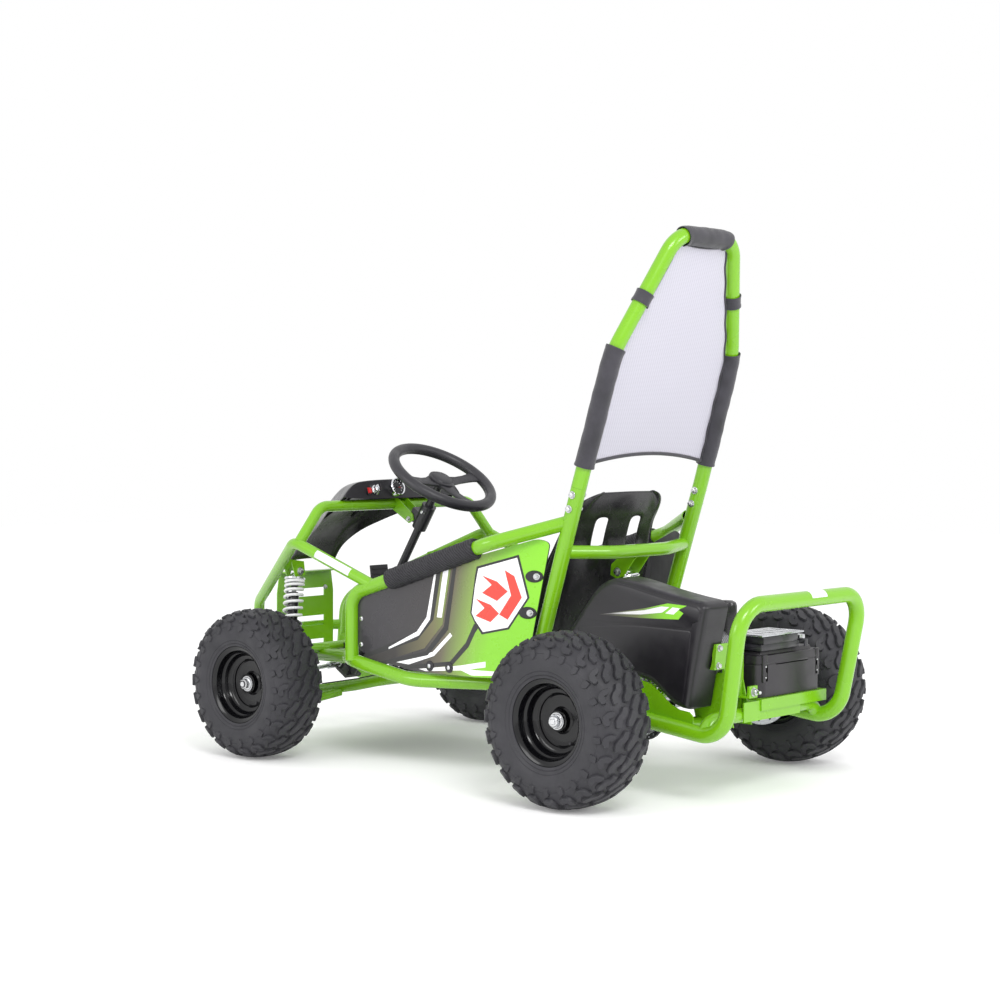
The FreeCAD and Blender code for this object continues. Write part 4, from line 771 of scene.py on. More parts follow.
def steering_wheel():
    bm = new_bm()
    e1, e2 = side_dir, Y
    n = 96
    ring = [wheel_c + (e1 * math.cos(2 * math.pi * i / n) + e2 * math.sin(2 * math.pi * i / n)) * 120.0 for i in range(n)]
    # grip section is a little taller than wide
    rings = []
    for i in range(n):
        a = 2 * math.pi * i / n
        rad = (e1 * math.cos(a) + e2 * math.sin(a))
        rr = 12.8
        rings.append([bm.verts.new(ring[i] + rad * (rr * math.cos(b)) + axis_dir * (rr * 0.98 * math.sin(b)))
                      for b in (2 * math.pi * j / 24 for j in range(24))])
    for i in range(n):
        p, q = rings[i], rings[(i + 1) % n]
        for j in range(24):
            bm.faces.new((p[j], p[(j + 1) % 24], q[(j + 1) % 24], q[j]))
    # three dished spokes, widening to the ring and to the hub
    for ang in (90.0, 270.0, 180.0):
        a = math.radians(ang)
        d = e1 * math.cos(a) + e2 * math.sin(a)
        w = axis_dir.cross(d)
        secs = []
        for dist, half, z, th in ((22, 21, -9, 5.5), (36, 15.5, -10.5, 5), (56, 12.5, -9.5, 4.5), (80, 12.5, -6.5, 4.5), (98, 14.5, -3, 5),
                                  (111, 18.5, -0.5, 5.5)):
            c = wheel_c + d * dist + axis_dir * z
            secs.append([bm.verts.new(c + w * x + axis_dir * y) for x, y in
                         ((-half, -th * 0.5), (-half + 2, -th), (half - 2, -th), (half, -th * 0.5), (half, 0.5), (half - 2.5, 2.2),
                          (-half + 2.5, 2.2), (-half, 0.5))])
        for p, q in zip(secs, secs[1:]):
            for j in range(8):
                bm.faces.new((p[j], p[(j + 1) % 8], q[(j + 1) % 8], q[j]))
        bm.faces.new(secs[0])
        bm.faces.new(list(reversed(secs[-1])))
    # hub plate and its domed cap
    lathe(bm, [(0, -19), (24, -19), (28, -17), (30, -12), (31, -7.5), (30, -4), (27.5, -2.6), (25.5, -2.2), (24.5, -0.6), (21, 1.2), (12, 2.4),
               (0, 2.6)], wheel_c, axis_dir, 48, 0)
    return make("steering_wheel_detail", bm, "grip", "steering", ("steering_wheel",), angle=40)


steering_wheel()

# ------------------------------------------------------------------ shocks


def shock(name, top, low, r, eye, half, coils):
    d = (low - top)
    L = d.length
    n = d.normalized()
    bm = new_bm()
    for c in (top, low):
        lathe(bm, [(4.2, -half), (8.4, -half), (9.2, -half + 1), (9.2, half - 1), (8.4, half), (4.2, half)], c, eye, 32, 1, closed=True)
        lathe(bm, [(0, -half - 1.0), (5.6, -half - 1.0), (5.6, half + 1.0), (0, half + 1.0)], c, eye, 24, 2)
    # neck, top cup, rod, rubber stop, damper body and the lower cup
    lathe(bm, [(0, 4), (7.5, 5), (8.5, 9), (11, 12), (r - 6, 14), (r - 2, 15.5), (r + 0.5, 17.0), (r + 0.5, 19.5), (r - 2, 21), (12, 22), (6, 23),
               (0, 23)], top, n, 40, 1)
    lathe(bm, [(0, 20), (5.2, 20), (5.2, L * 0.5), (0, L * 0.5)], top, n, 20, 2)
    lathe(bm, [(0, 22), (8.2, 22), (9.4, 26), (9.0, 34), (7.0, 38), (0, 38)], top, n, 24, 3)
    lathe(bm, [(0, L * 0.34), (9.5, L * 0.34), (11.6, L * 0.34 + 1.5), (12.0, L * 0.34 + 4), (12.0, L - 34), (10, L - 30), (0, L - 30)], top, n, 36, 0)
    lathe(bm, [(0, L - 34), (13.5, L - 34), (r - 1, L - 28.5), (r + 0.5, L - 26), (r + 0.5, L - 23), (r - 3, L - 21), (13, L - 19),
               (9, L - 12), (8, L - 7), (0, L - 5)], top, n, 40, 0)
    ob = make(name, bm, ["shock_black", "chrome", "zinc", "pedal_rubber"], "chassis", ("shock_absorbers",), angle=35)
    # the coil: close turns at the top, open turns below
    bm = new_bm()
    s0, s1 = 23.0, L - 30.0
    e1, e2 = frame_of(n)
    wire = 3.4
    pts, total = [], coils * 28
    for i in range(total + 1):
        u = i / total
        turn = u * coils
        dead = min(1.0, turn / 0.7) * min(1.0, (coils - turn) / 0.7)
        lin = u ** 1.35
        a = 2 * math.pi * turn
        pts.append(top + n * (s0 + (s1 - s0) * lin) + (e1 * math.cos(a) + e2 * math.sin(a)) * (r - wire - 0.2))
    tube(bm, pts, wire, 10, caps=True)
    make(name + "_coil", bm, "white_spring", "chassis", ("shock_springs",), angle=60)
    return ob


shock("shock_front_left", V(485, 232, 404), V(466.5, 262, 262), 23.5, X, 11.6, 7)
shock("shock_front_right", V(485, -232, 404), V(466.5, -262, 262), 23.5, X, 11.6, 7)
shock("shock_rear", V(-287, 0, 431), V(-398, 0, 222), 27.0, Y, 19.0, 9)

# ------------------------------------------------------------------ roll bar cloth


def mirror_pts(pts):
    return [Vector((p.x, -p.y, p.z)) for p in pts]


joint, shoulder, corner = V(-332, 208, 614), V(-414, 203, 885), V(-491, 95, 1124)
ROLL = [joint, shoulder, corner, V(-491, -95, 1124), V(-414, -203, 885), V(-332, -208, 614)]
roll_path = route(ROLL, [170.0, 62.0, 62.0, 170.0], 5.0)
roll_len = along(roll_path)[-1]


def wrap(bm, path, r0, seed, hem=True, lump=0.5, seam_dir=None, n=28, th=1.3):
    """Cloth sleeve round a path, with hemmed ends, shallow creases and a raised seam."""
    rnd = random.Random(seed)
    s = along(path)
    total = s[-1]
    ph = [rnd.uniform(0, 6.28) for _ in range(6)]
    m = len(path)
    tang = [(path[min(i + 1, m - 1)] - path[max(i - 1, 0)]).normalized() for i in range(m)]
    e1, _ = frame_of(tang[0])
    if seam_dir is not None:
        e1 = (seam_dir - tang[0] * seam_dir.dot(tang[0])).normalized()
    outer, inner = [], []
    for i in range(m):
        e1 = (e1 - tang[i] * e1.dot(tang[i])).normalized()
        e2 = tang[i].cross(e1)
        ro, ri = [], []
        for j in range(n):
            a = 2 * math.pi * j / n
            x = s[i]
            f = math.sin(x * 0.055 + ph[0] + 1.7 * math.sin(a + ph[1])) + 0.6 * math.sin(x * 0.13 + 2 * a + ph[2]) \
                + 0.5 * math.sin(x * 0.21 - a + ph[3])
            rr = r0 + lump * f * 0.45
            if hem and (x < 6 or total - x < 6):
                rr += 0.9
            # seam ridge where e1 points
            da = min(a, 2 * math.pi - a)
            if da < 0.45:
                rr += 2.0 * (1 - da / 0.45)
            d = e1 * math.cos(a) + e2 * math.sin(a)
            ro.append(bm.verts.new(path[i] + d * rr))
            ri.append(bm.verts.new(path[i] + d * (rr - th)))
        outer.append(ro)
        inner.append(ri)
    for rings, flip in ((outer, False), (inner, True)):
        for p, q in zip(rings, rings[1:]):
            for j in range(n):
                vs = (p[j], p[(j + 1) % n], q[(j + 1) % n], q[j])
                bm.faces.new(tuple(reversed(vs)) if flip else vs)
    for k in (0, -1):
        for j in range(n):
            vs = (outer[k][j], outer[k][(j + 1) % n], inner[k][(j + 1) % n], inner[k][j])
            bm.faces.new(vs)


inward = V(0, -1, 0)
s_of = along(roll_path)
mid_len = roll_len / 2.0
low_sleeve = cut_path(roll_path, 44.0, 294.0)
# name, path, radius, seed, where the seam lies, how lumpy
WRAPS = (
    ("sleeve_left", low_sleeve, 20.2, 3, inward, 0.7),
    ("sleeve_right", mirror_pts(low_sleeve), 20.2, 5, -inward, 0.9),
    ("strap_left", cut_path(roll_path, 394.0, 420.0), 18.6, 7, inward, 0.2),
    ("strap_right", mirror_pts(cut_path(roll_path, 404.0, 430.0)), 18.6, 9, -inward, 0.2),
    ("top_wrap", cut_path(roll_path, mid_len - 74.0, mid_len + 74.0), 19.4, 11, V(0.3, 0, -1), 0.8),
)
sleeves = []
for label, path_, r_w, seed_, seam, lump_ in WRAPS:
    bm = new_bm()
    wrap(bm, path_, r_w, seed_, seam_dir=seam, lump=lump_)
    ob = make("roll_bar_" + label, bm, "cloth", "chassis", ("hoop_sleeves",), angle=60)
    sleeves.append(ob)

# the net: one gently bellied sheet between the sleeves, with a piped edge
plane_d = (shoulder - joint)


def plane_point(y, z):
    t = (z - joint.z) / plane_d.z
    base = joint + plane_d * t
    if z > shoulder.z:
        t2 = (z - shoulder.z) / (corner.z - shoulder.z)
        base = shoulder.lerp(corner, t2)
    return V(base.x, y, z)


# half width of the net at a height
NET_EDGE = [(662, 186), (700, 184), (760, 182), (820, 181), (880, 179), (930, 160), (980, 136), (1030, 112), (1070, 94), (1104, 80)]


def net_half(z):
    for (z0, w0), (z1, w1) in zip(NET_EDGE, NET_EDGE[1:]):
        if z0 <= z <= z1:
            return w0 + (w1 - w0) * (z - z0) / (z1 - z0)
    return NET_EDGE[-1][1] if z > 1000 else NET_EDGE[0][1]


bm = new_bm()
ROWS, COLS = 56, 36
grid_pts = []
for i in range(ROWS + 1):
    row = []
    v = i / ROWS
    for j in range(COLS + 1):
        u = j / COLS * 2 - 1
        z_low = 664 + 17 * (1 - u * u)
        z_high = 1108 - 6 * (1 - u * u)
        z = z_low + (z_high - z_low) * v
        y = u * net_half(z)
        belly = 5.0 * (1 - u * u) * math.sin(math.pi * min(max(v, 0.0), 1.0))
        p = plane_point(y, z) + V(-1, 0, -0.3) * belly * 0.6
        row.append(p)
    grid_pts.append(row)
front_v = [[bm.verts.new(p) for p in row] for row in grid_pts]
for i in range(ROWS):
    for j in range(COLS):
        bm.faces.new((front_v[i][j], front_v[i][j + 1], front_v[i + 1][j + 1], front_v[i + 1][j]))
net = make("roll_bar_net", bm, "net", "chassis", ("roll_net",), angle=80)
sol = net.modifiers.new("thickness", "SOLIDIFY")
sol.thickness = 0.0008
bm = new_bm()
edge = grid_pts[0][:]
tube(bm, edge, 3.8, 10)
for j, sgn in ((0, 1), (COLS, -1)):
    side_edge = [grid_pts[i][j] + V(0, sgn * 1.6 * math.sin(i * 0.9) if j == 0 else 0.0, 0) for i in range(ROWS + 1)]
    tube(bm, side_edge, 2.4, 8)
tube(bm, grid_pts[-1][:], 2.0, 8)
piping = make("net_piping", bm, "cloth", "chassis", angle=60)

# ------------------------------------------------------------------ foam sleeves on the side rails
rail_rear, rail_bend, rail_front, side_corner = V(-300, 207, 541), V(-170, 300, 497), V(230, 300, 371), V(230, 300, 226)
rail_path = route([rail_rear, rail_bend, rail_front, side_corner], [62.0, 45.0], 5.0)
bm = new_bm()
ra = along(rail_path)
start = (rail_bend - rail_rear).length + 34
foam_path = cut_path(rail_path, start, start + 262)
for k, path in enumerate((foam_path, mirror_pts(foam_path))):
    rnd = random.Random(31 + k)
    m = len(path)
    s = along(path)
    tang = [(path[min(i + 1, m - 1)] - path[max(i - 1, 0)]).normalized() for i in range(m)]
    fine_path = []
    for a, b in zip(path, path[1:]):
        fine_path += [a, a.lerp(b, 0.5)]
    fine_path.append(path[-1])
    path = fine_path
    m = len(path)
    s = along(path)
    t0 = (path[-1] - path[0]).normalized()
    e1 = Z.cross(t0).normalized()
    e2 = t0.cross(e1)
    rings, inner = [], []
    n = 40
    for i in range(m):
        row, row2 = [], []
        for j in range(n):
            a = 2 * math.pi * j / n
            x = s[i]
            wr = 0.55 * math.sin(x * 0.62 + 2.2 * math.sin(a) + 0.9 * math.sin(x * 0.05)) + 0.5 * math.sin(x * 0.21 + 3 * a)
            r = 22.4 + wr * 0.7
            if x < 5:
                r -= (5 - x) * 0.5
            if s[-1] - x < 5:
                r -= (5 - (s[-1] - x)) * 0.5
            d = e1 * math.cos(a) + e2 * math.sin(a)
            row.append(bm.verts.new(path[i] + d * r))
            row2.append(bm.verts.new(path[i] + d * 15.2))
        rings.append(row)
        inner.append(row2)
    for p, q in zip(rings, rings[1:]):
        for j in range(n):
            bm.faces.new((p[j], p[(j + 1) % n], q[(j + 1) % n], q[j]))
    for p, q in zip(inner, inner[1:]):
        for j in range(n):
            bm.faces.new((q[j], q[(j + 1) % n], p[(j + 1) % n], p[j]))
    for idx in (0, -1):
        for j in range(n):
            bm.faces.new((rings[idx][j], rings[idx][(j + 1) % n], inner[idx][(j + 1) % n], inner[idx][j]))
foam = make("rail_foam", bm, "foam", "chassis", ("rail_sleeves",), angle=70)



# ------------------------------------------------------------------ side panels
PANEL = [(214, 371), (205, 378), (-128, 468), (-246, 508), (-268, 500), (-222, 218), (-120, 219), (50, 217), (168, 235), (214, 250)]


def panel_y(x):
    """Outer face of the panel at x: flat, then turned in towards the hoop."""
    if x >= -130:
        return 297.0
    return 297.0 + (x + 130) * 65.0 / 120.0


def panel_sheet(sgn):
    bm = new_bm()
    out = rounded(PANEL, [14, 20, 30, 14, 10, 14, 20, 20, 14, 16], 5)
    # cut into strips along x so that the bend stays clean
    cuts = [-130.0]
    poly = [Vector((x, z)) for x, z in out]

    def clip(poly, x0, keep_high):
        res = []
        for a, b in zip(poly, poly[1:] + poly[:1]):
            ina = a.x >= x0 if keep_high else a.x <= x0
            inb = b.x >= x0 if keep_high else b.x <= x0
            if ina:
                res.append(a)
            if ina != inb:
                t = (x0 - a.x) / (b.x - a.x)
                res.append(a.lerp(b, t))
        return res

    for part in (clip(poly, -130.0, True), clip(poly, -130.0, False)):
        top, bot = [], []
        for p in part:
            y = panel_y(p.x)
            top.append(bm.verts.new((p.x, sgn * y, p.y)))
            bot.append(bm.verts.new((p.x, sgn * (y - 3.0), p.y)))
        f = bm.faces.new(top)
        f.material_index = 0
        f = bm.faces.new(list(reversed(bot)))
        f.material_index = 1
        n = len(part)
        for i in range(n):
            if abs(part[i].x + 130) < 1e-6 and abs(part[(i + 1) % n].x + 130) < 1e-6:
                continue
            f = bm.faces.new((bot[i], bot[(i + 1) % n], top[(i + 1) % n], top[i]))
            f.material_index = 1
    bmesh.ops.remove_doubles(bm, verts=bm.verts[:], dist=0.01)
    return bm


def clip_poly(poly, x0, keep_high):
    res = []
    for a, b in zip(poly, poly[1:] + poly[:1]):
        ina = a[0] >= x0 if keep_high else a[0] <= x0
        inb = b[0] >= x0 if keep_high else b[0] <= x0
        if ina:
            res.append(a)
        if ina != inb:
            t = (x0 - a[0]) / (b[0] - a[0])
            res.append((x0, a[1] + (b[1] - a[1]) * t))
    return res


def decal(bm, poly, sgn, lift, mat):
    """Printed shape laid on the panel, folded with it."""
    for part in (clip_poly(poly, -130.0, True), clip_poly(poly, -130.0, False)):
        if len(part) < 3:
            continue
        ring = []
        for x, z in part:
            ring.append((x, z))
        top = [bm.verts.new((x, sgn * (panel_y(x) + lift), z)) for x, z in ring]
        low = [bm.verts.new((x, sgn * (panel_y(x) + 0.02), z)) for x, z in ring]
        f = bm.faces.new(top)
        f.material_index = mat
        n = len(ring)
        for i in range(n):
            f = bm.faces.new((low[i], low[(i + 1) % n], top[(i + 1) % n], top[i]))
            f.material_index = mat


# mats: 0 white 1 line 2 lime 3 red 4 olive ; shapes in (x, z), printed one over the other
GRAPHICS = (
    (1, 0.14, [(196, 240), (40, 300), (2, 336), (-22, 432), (-34, 435), (-12, 330), (34, 284), (196, 232)]),
    (0, 0.16, [(120, 262), (36, 302), (8, 334), (-14, 428), (-20, 430), (-2, 330), (30, 294), (120, 258)]),
    (4, 0.10, [(196, 232), (34, 284), (-12, 330), (-34, 435), (-62, 443), (-38, 322), (14, 268), (150, 226)]),
    (0, 0.12, [(-40, 437), (-56, 441), (-36, 336), (-22, 336)]),
    (1, 0.14, [(150, 228), (10, 262), (-42, 318), (-68, 446), (-78, 449), (-54, 312), (4, 254), (130, 224)]),
    (0, 0.12, [(100, 232), (-10, 262), (-60, 306), (-66, 300), (-14, 254), (60, 230)]),
    (1, 0.14, [(90, 224), (-60, 246), (-104, 288), (-128, 330), (-138, 324), (-112, 280), (-66, 238), (70, 219)]),
    (0, 0.12, [(30, 223), (-90, 240), (-150, 252), (-150, 240), (-92, 230), (10, 220)]),
    (0, 0.13, [(-70, 236), (-170, 232), (-200, 224), (-120, 222)]),
    # plain plate with three chevrons
    (1, 0.13, [(-92, 362), (-108, 458), (-186, 484), (-206, 396), (-168, 330), (-118, 318)]),
    (0, 0.16, [(-96, 362), (-111, 454), (-183, 478), (-202, 396), (-166, 334), (-120, 323)]),
    (3, 0.20, [(-106, 356), (-134, 344), (-150, 362), (-134, 380), (-106, 392), (-122, 374), (-122, 372)]),
    (3, 0.20, [(-118, 404), (-146, 388), (-166, 408), (-146, 428), (-118, 440), (-136, 421)]),
    (3, 0.20, [(-150, 360), (-166, 350), (-192, 396), (-178, 440), (-160, 452), (-172, 400)]),
)
for word, sgn in (("left", 1), ("right", -1)):
    bm = panel_sheet(sgn)
    make("side_panel_sheet_" + word, bm, ["panel_print", "black_plastic"], "chassis", ("side_panels",),
         angle=20)
    bm = new_bm()
    for k, (mat, lift, poly) in enumerate(GRAPHICS):
        # the plate and its chevrons sit further back
        if k >= 9:
            poly = [(x - 25, z - 10) for x, z in poly]
        decal(bm, poly, sgn, lift * 2.2, mat)
    make("side_panel_print_" + word, bm, ["decal_white", "decal_line", "decal_lime", "decal_red", "panel_olive"], "chassis",
         angle=20, recalc=True)
    # oval bosses with screws at the rear edge, screws at the front, studs below
    bm = new_bm()
    for x, z in ((-240, 430), (-228, 355)):
        y = panel_y(x)
        c = V(x, sgn * (y + 0.4), z)
        nrm = V(-0.476, sgn * 0.879, 0)
        ex = V(0.879, sgn * 0.476, 0)
        oval = [(19 * math.cos(a), 12.5 * math.sin(a)) for a in (2 * math.pi * k / 28 for k in range(28))]
        slab(bm, oval, c, ex, Z, nrm, 0.0, 2.2, 1, inset_top=1.6)
        bolt(bm, c + ex * -5 + nrm * 2.2, nrm, af=8.0, head=3.6, washer=7.0, mat=0)
    for x, z in ((203, 318), (203, 262)):
        screw(bm, V(x, sgn * 297.2, z), V(0, sgn, 0), 5.2, 2.6, 0, 1)
    for x, z in ((-2, 232), (-58, 233)):
        c = V(x, sgn * 297.2, z)
        lathe(bm, [(0, 0), (11, 0), (11, 1.2), (9.5, 2.2), (5, 1.4), (0, 1.4)], c, V(0, sgn, 0), 32, 1)
        lathe(bm, [(0, 1.4), (4.8, 1.4), (4.6, 3.4), (3.0, 4.6), (0, 4.9)], c, V(0, sgn, 0), 24, 0)
    make("side_panel_screws_" + word, bm, ["zinc", "black_plastic"], "chassis", angle=35)

# ------------------------------------------------------------------ seat



def seat():
    """One moulded shell with two belt slots: rows from the front lip over the pan and up the back, columns across."""
    # row: centre-line x, z ; half width ; how far the side wall rises and where it leans
    rows = [
        (65.0, 230.0, 150.0, 168.0, 258.0), (62.0, 240.0, 160.0, 174.0, 262.0), (50.0, 243.0, 160.0, 177.0, 268.0),
        (20.0, 236.0, 158.0, 178.0, 277.0), (-30.0, 226.0, 156.0, 178.5, 291.0), (-90.0, 220.5, 154.0, 178.5, 305.0),
        (-140.0, 220.5, 154.0, 178.5, 316.0), (-184.0, 225.0, 154.0, 178.5, 326.0), (-200.0, 242.0, 154.0, 178.5, 340.0),
        (-212.0, 275.0, 152.0, 178.0, 0), (-224.0, 325.0, 150.0, 178.0, 0), (-235.0, 375.0, 150.0, 178.0, 0),
        (-246.5, 425.0, 150.0, 177.0, 0), (-254.0, 458.0, 146.0, 170.0, 0), (-256.7, 470.0, 144.0, 166.5, 0),
        (-264.5, 505.0, 138.0, 156.0, 0), (-273.0, 533.0, 134.0, 149.0, 0), (-279.0, 545.0, 133.0, 147.5, 0),
        (-290.5, 568.0, 132.0, 144.5, 0), (-298.0, 584.0, 124.0, 132.5, 0), (-303.0, 595.0, 106.0, 111.0, 0),
        (-305.0, 600.0, 90.0, 92.0, 0),
    ]
    bm = new_bm()
    grid = []
    for k, (x, z, flat, edge_y, edge_z) in enumerate(rows):
        up = Vector((0.0, 0.0, 1.0))
        row = []
        # centre dips a little below the sides of the pan
        inner_y = flat * 0.86
        for y in (0.0, 20.0, 39.0, 75.0, 75.0 + (inner_y - 75.0) * 0.5, inner_y):
            u = y / inner_y
            rise = 5.0 * u * u
            px, pz = x, z + rise * (1.0 if k < 9 else 0.0)
            if k >= 9:
                px = x + rise * 1.6
            row.append((px, y, pz))
        # side wall
        if k < 9:
            row.append((x, flat * 0.95, z + 14))
            row.append((x, flat * 1.03, z + (edge_z - z) * 0.5))
            row.append((x + 1, edge_y - 3, edge_z - 3))
            row.append((x + 1, edge_y, edge_z))
        else:
            d = min(1.0, (k - 9) / 11.0)
            fwd_ = 38.0 * (1 - d) ** 0.7 + 9.0
            lift = 8.0 * (1 - d)
            row.append((x + fwd_ * 0.30, flat * 0.94, z + lift * 0.3))
            row.append((x + fwd_ * 0.62, (flat + edge_y) / 2, z + lift * 0.6))
            row.append((x + fwd_ * 0.9, edge_y - 2, z + lift * 0.9))
            row.append((x + fwd_, edge_y, z + lift))
        grid.append(row)
    verts = []
    for row in grid:
        line = [bm.verts.new((x, -y, z)) for x, y, z in reversed(row[1:])] + [bm.verts.new((x, y, z)) for x, y, z in row]
        verts.append(line)
    for i, (a, b) in enumerate(zip(verts, verts[1:])):
        for j in range(len(a) - 1):
            mid_y = abs(a[j].co.y + a[j + 1].co.y) / 2
            # the belt slots stay open
            if rows[i][1] >= 470.0 and i >= 9 and rows[i + 1][1] <= 545.0 and 39.0 < mid_y < 75.0:
                continue
            bm.faces.new((a[j], a[j + 1], b[j + 1], b[j]))
    ob = make("seat_shell", bm, "gloss_plastic", "chassis", ("seat",), angle=60)
    s = ob.modifiers.new("wall", "SOLIDIFY")
    s.thickness = 0.0052
    s.offset = -1.0
    b = ob.modifiers.new("round", "SUBSURF")
    b.levels = b.render_levels = 2
    return ob


seat()

# ------------------------------------------------------------------ chain cover
COVER = [(-288, 322), (-310, 350), (-357, 410), (-383, 427), (-409, 434), (-448, 429), (-512, 415), (-581, 403),
         (-622, 398), (-636, 388), (-628, 352), (-612, 276), (-595, 184), (-572, 186), (-549, 195), (-526, 213),
         (-501, 231), (-466, 238), (-400, 240), (-330, 268)]


def cover():
    bm = new_bm()
    base = rounded(COVER, [8, 18, 16, 14, 14, 30, 30, 20, 8, 8, 20, 30, 6, 10, 12, 14, 14, 16, 30, 30], 4)
    cx = sum(p[0] for p in base) / len(base)
    cz = sum(p[1] for p in base) / len(base)

    def inward(poly, amount):
        n, out = len(poly), []
        for i in range(n):
            a, b, c = Vector(poly[i - 1]), Vector(poly[i]), Vector(poly[(i + 1) % n])
            d = (c - a).normalized()
            nrm = Vector((-d.y, d.x))
            if nrm.dot(Vector((cx, cz)) - b) < 0:
                nrm = -nrm
            q = b + nrm * amount
            out.append((q.x, q.y))

        def side(a, b, c):
            return (b[0] - a[0]) * (c[1] - a[1]) - (b[1] - a[1]) * (c[0] - a[0])

        # where the ring folds over itself at a tight corner, the fold closes to the point it crosses in
        for i in range(n):
            for step in range(n // 3, 1, -1):
                a, b = out[i], out[(i + 1) % n]
                c, d = out[(i + step) % n], out[(i + step + 1) % n]
                s1, s2 = side(a, b, c), side(a, b, d)
                if s1 * s2 < 0 and side(c, d, a) * side(c, d, b) < 0:
                    t = s1 / (s1 - s2)
                    at_ = (c[0] + (d[0] - c[0]) * t, c[1] + (d[1] - c[1]) * t)
                    for k in range(1, step + 1):
                        out[(i + k) % n] = at_
                    break
        return out

    # skin: open inner edge at y 113, wall, rounded outer edge, then the outer face
    levels = [(base, 113.0), (base, 172.0), (inward(base, 1.2), 180.0), (inward(base, 4.5), 185.6), (inward(base, 10.0), 188.8),
              (inward(base, 16.0), 189.6)]
    rings = [[bm.verts.new((x, y, z)) for x, z in poly] for poly, y in levels]
    n = len(base)
    for p, q in zip(rings, rings[1:]):
        for i in range(n):
            bm.faces.new((p[i], p[(i + 1) % n], q[(i + 1) % n], q[i]))
    bm.faces.new(rings[-1])
    # raised field on the outer face, a long tapering blister towards the rear
    field = rounded([(-322, 354), (-364, 402), (-388, 419), (-410, 425), (-448, 420), (-512, 406), (-581, 394), (-616, 389), (-626, 380),
                     (-622, 360), (-600, 351), (-540, 350), (-460, 352), (-390, 350)],
                    [12, 16, 14, 14, 30, 30, 24, 8, 8, 10, 16, 30, 30, 26], 4)
    lower = rounded([(-312, 330), (-390, 339), (-460, 344), (-540, 343), (-604, 342), (-597, 276), (-584, 196), (-573, 197), (-553, 206),
                     (-530, 224), (-505, 242), (-467, 249), (-401, 251), (-338, 280)],
                    [10, 30, 30, 30, 10, 30, 8, 8, 12, 14, 14, 16, 26, 24], 4)
    for poly, hgt in ((field, 2.6), (lower, 1.2)):
        lv = [(poly, 176.0), (poly, 188.6), (inward(poly, 2.5), 189.6 + hgt * 0.2), (inward(poly, 5.0), 189.6 + hgt * 0.55)]
        rr = [[bm.verts.new((x, min(y, 190.0 + 1.2), z)) for x, z in pl] for pl, y in lv]
        m = len(poly)
        for p, q in zip(rr, rr[1:]):
            for i in range(m):
                bm.faces.new((p[i], p[(i + 1) % m], q[(i + 1) % m], q[i]))
        bm.faces.new(rr[-1])
    bmesh.ops.remove_doubles(bm, verts=bm.verts[:], dist=0.005)
    ob = make("chain_cover_moulding", bm, "cover_plastic", "chassis", ("chain_cover",), angle=32, recalc=True)
    # printed slashes, tapering towards the front
    bm = new_bm()

    def print_(poly, lift, mat):
        top = [bm.verts.new((x, lift, z)) for x, z in poly]
        low = [bm.verts.new((x, lift - 0.5, z)) for x, z in poly]
        f = bm.faces.new(top)
        f.material_index = mat
        for i in range(len(poly)):
            f = bm.faces.new((low[i], low[(i + 1) % len(poly)], top[(i + 1) % len(poly)], top[i]))
            f.material_index = mat

    print_([(-372, 358), (-490, 378), (-545, 391), (-592, 389), (-572, 380), (-584, 374), (-572, 361), (-480, 358)], 191.3, 0)
    print_([(-384, 360), (-488, 374), (-530, 384), (-550, 384), (-532, 372), (-480, 365)], 191.6, 1)
    print_([(-540, 371), (-558, 384), (-576, 383), (-560, 370)], 191.6, 1)
    make("chain_cover_print", bm, ["cover_lime", "cover_white"], "chassis", angle=20)
    return ob


cover()

# ------------------------------------------------------------------ battery, its strap and plate


def battery():
    bm = new_bm()
    lo, hi = (-650, -201, 196), (-510, 19, 288)
    # body with chamfered corners, a step under the lid and the lid
    body = [(-650 + 14, -201), (-510 - 6, -201), (-510, -195), (-510, 13), (-510 - 6, 19), (-650 + 14, 19), (-650, 5), (-650, -187)]
    c = V(0, 0, 0)
    slab(bm, rounded(body, 3, 2), c, X, Y, Z, 196.5, 262, 0)
    lid = [(-650 + 12, -201), (-510 - 4, -201), (-510, -197), (-510, 15), (-510 - 4, 19), (-650 + 12, 19), (-650, 7), (-650, -189)]
    slab(bm, rounded(lid, 3, 2), c, X, Y, Z, 264, 280, 0, inset_top=1.5)
    slab(bm, rounded([(x * 0.992 - 4, y * 0.985 - 2) for x, y in body], 3, 2), c, X, Y, Z, 260, 266, 0)
    slab(bm, rounded([(-636, -188), (-522, -188), (-522, 6), (-636, 6)], 8, 3), c, X, Y, Z, 279, 287.6, 0, inset_top=5)
    # handle recess rib and rear ledge
    block(bm, (-650.0, -150, 258), (-645, -32, 266), 0, 1.5)
    # side clips on the rear face, each with two rivets
    for y in (-184, 2):
        block(bm, (-650, y - 9, 226), (-644, y + 9, 282), 0, 2.5)
        for z in (240, 262):
            slab(bm, rounded([(-4.5, -7), (4.5, -7), (4.5, 7), (-4.5, 7)], 3, 3), V(-650, y, z), Y, Z, V(-1, 0, 0), -1.0, 0.02, 2)
            lathe(bm, [(0, 0), (2.2, 0), (1.8, 0.6), (0, 0.9)], V(-650.02, y, z - 4), V(-1, 0, 0), 12, 1)
    return make("battery_case_detail", bm, ["battery_black", "zinc", "dial_face"], "chassis", ("battery",), angle=30, bevel=0.8)


battery()


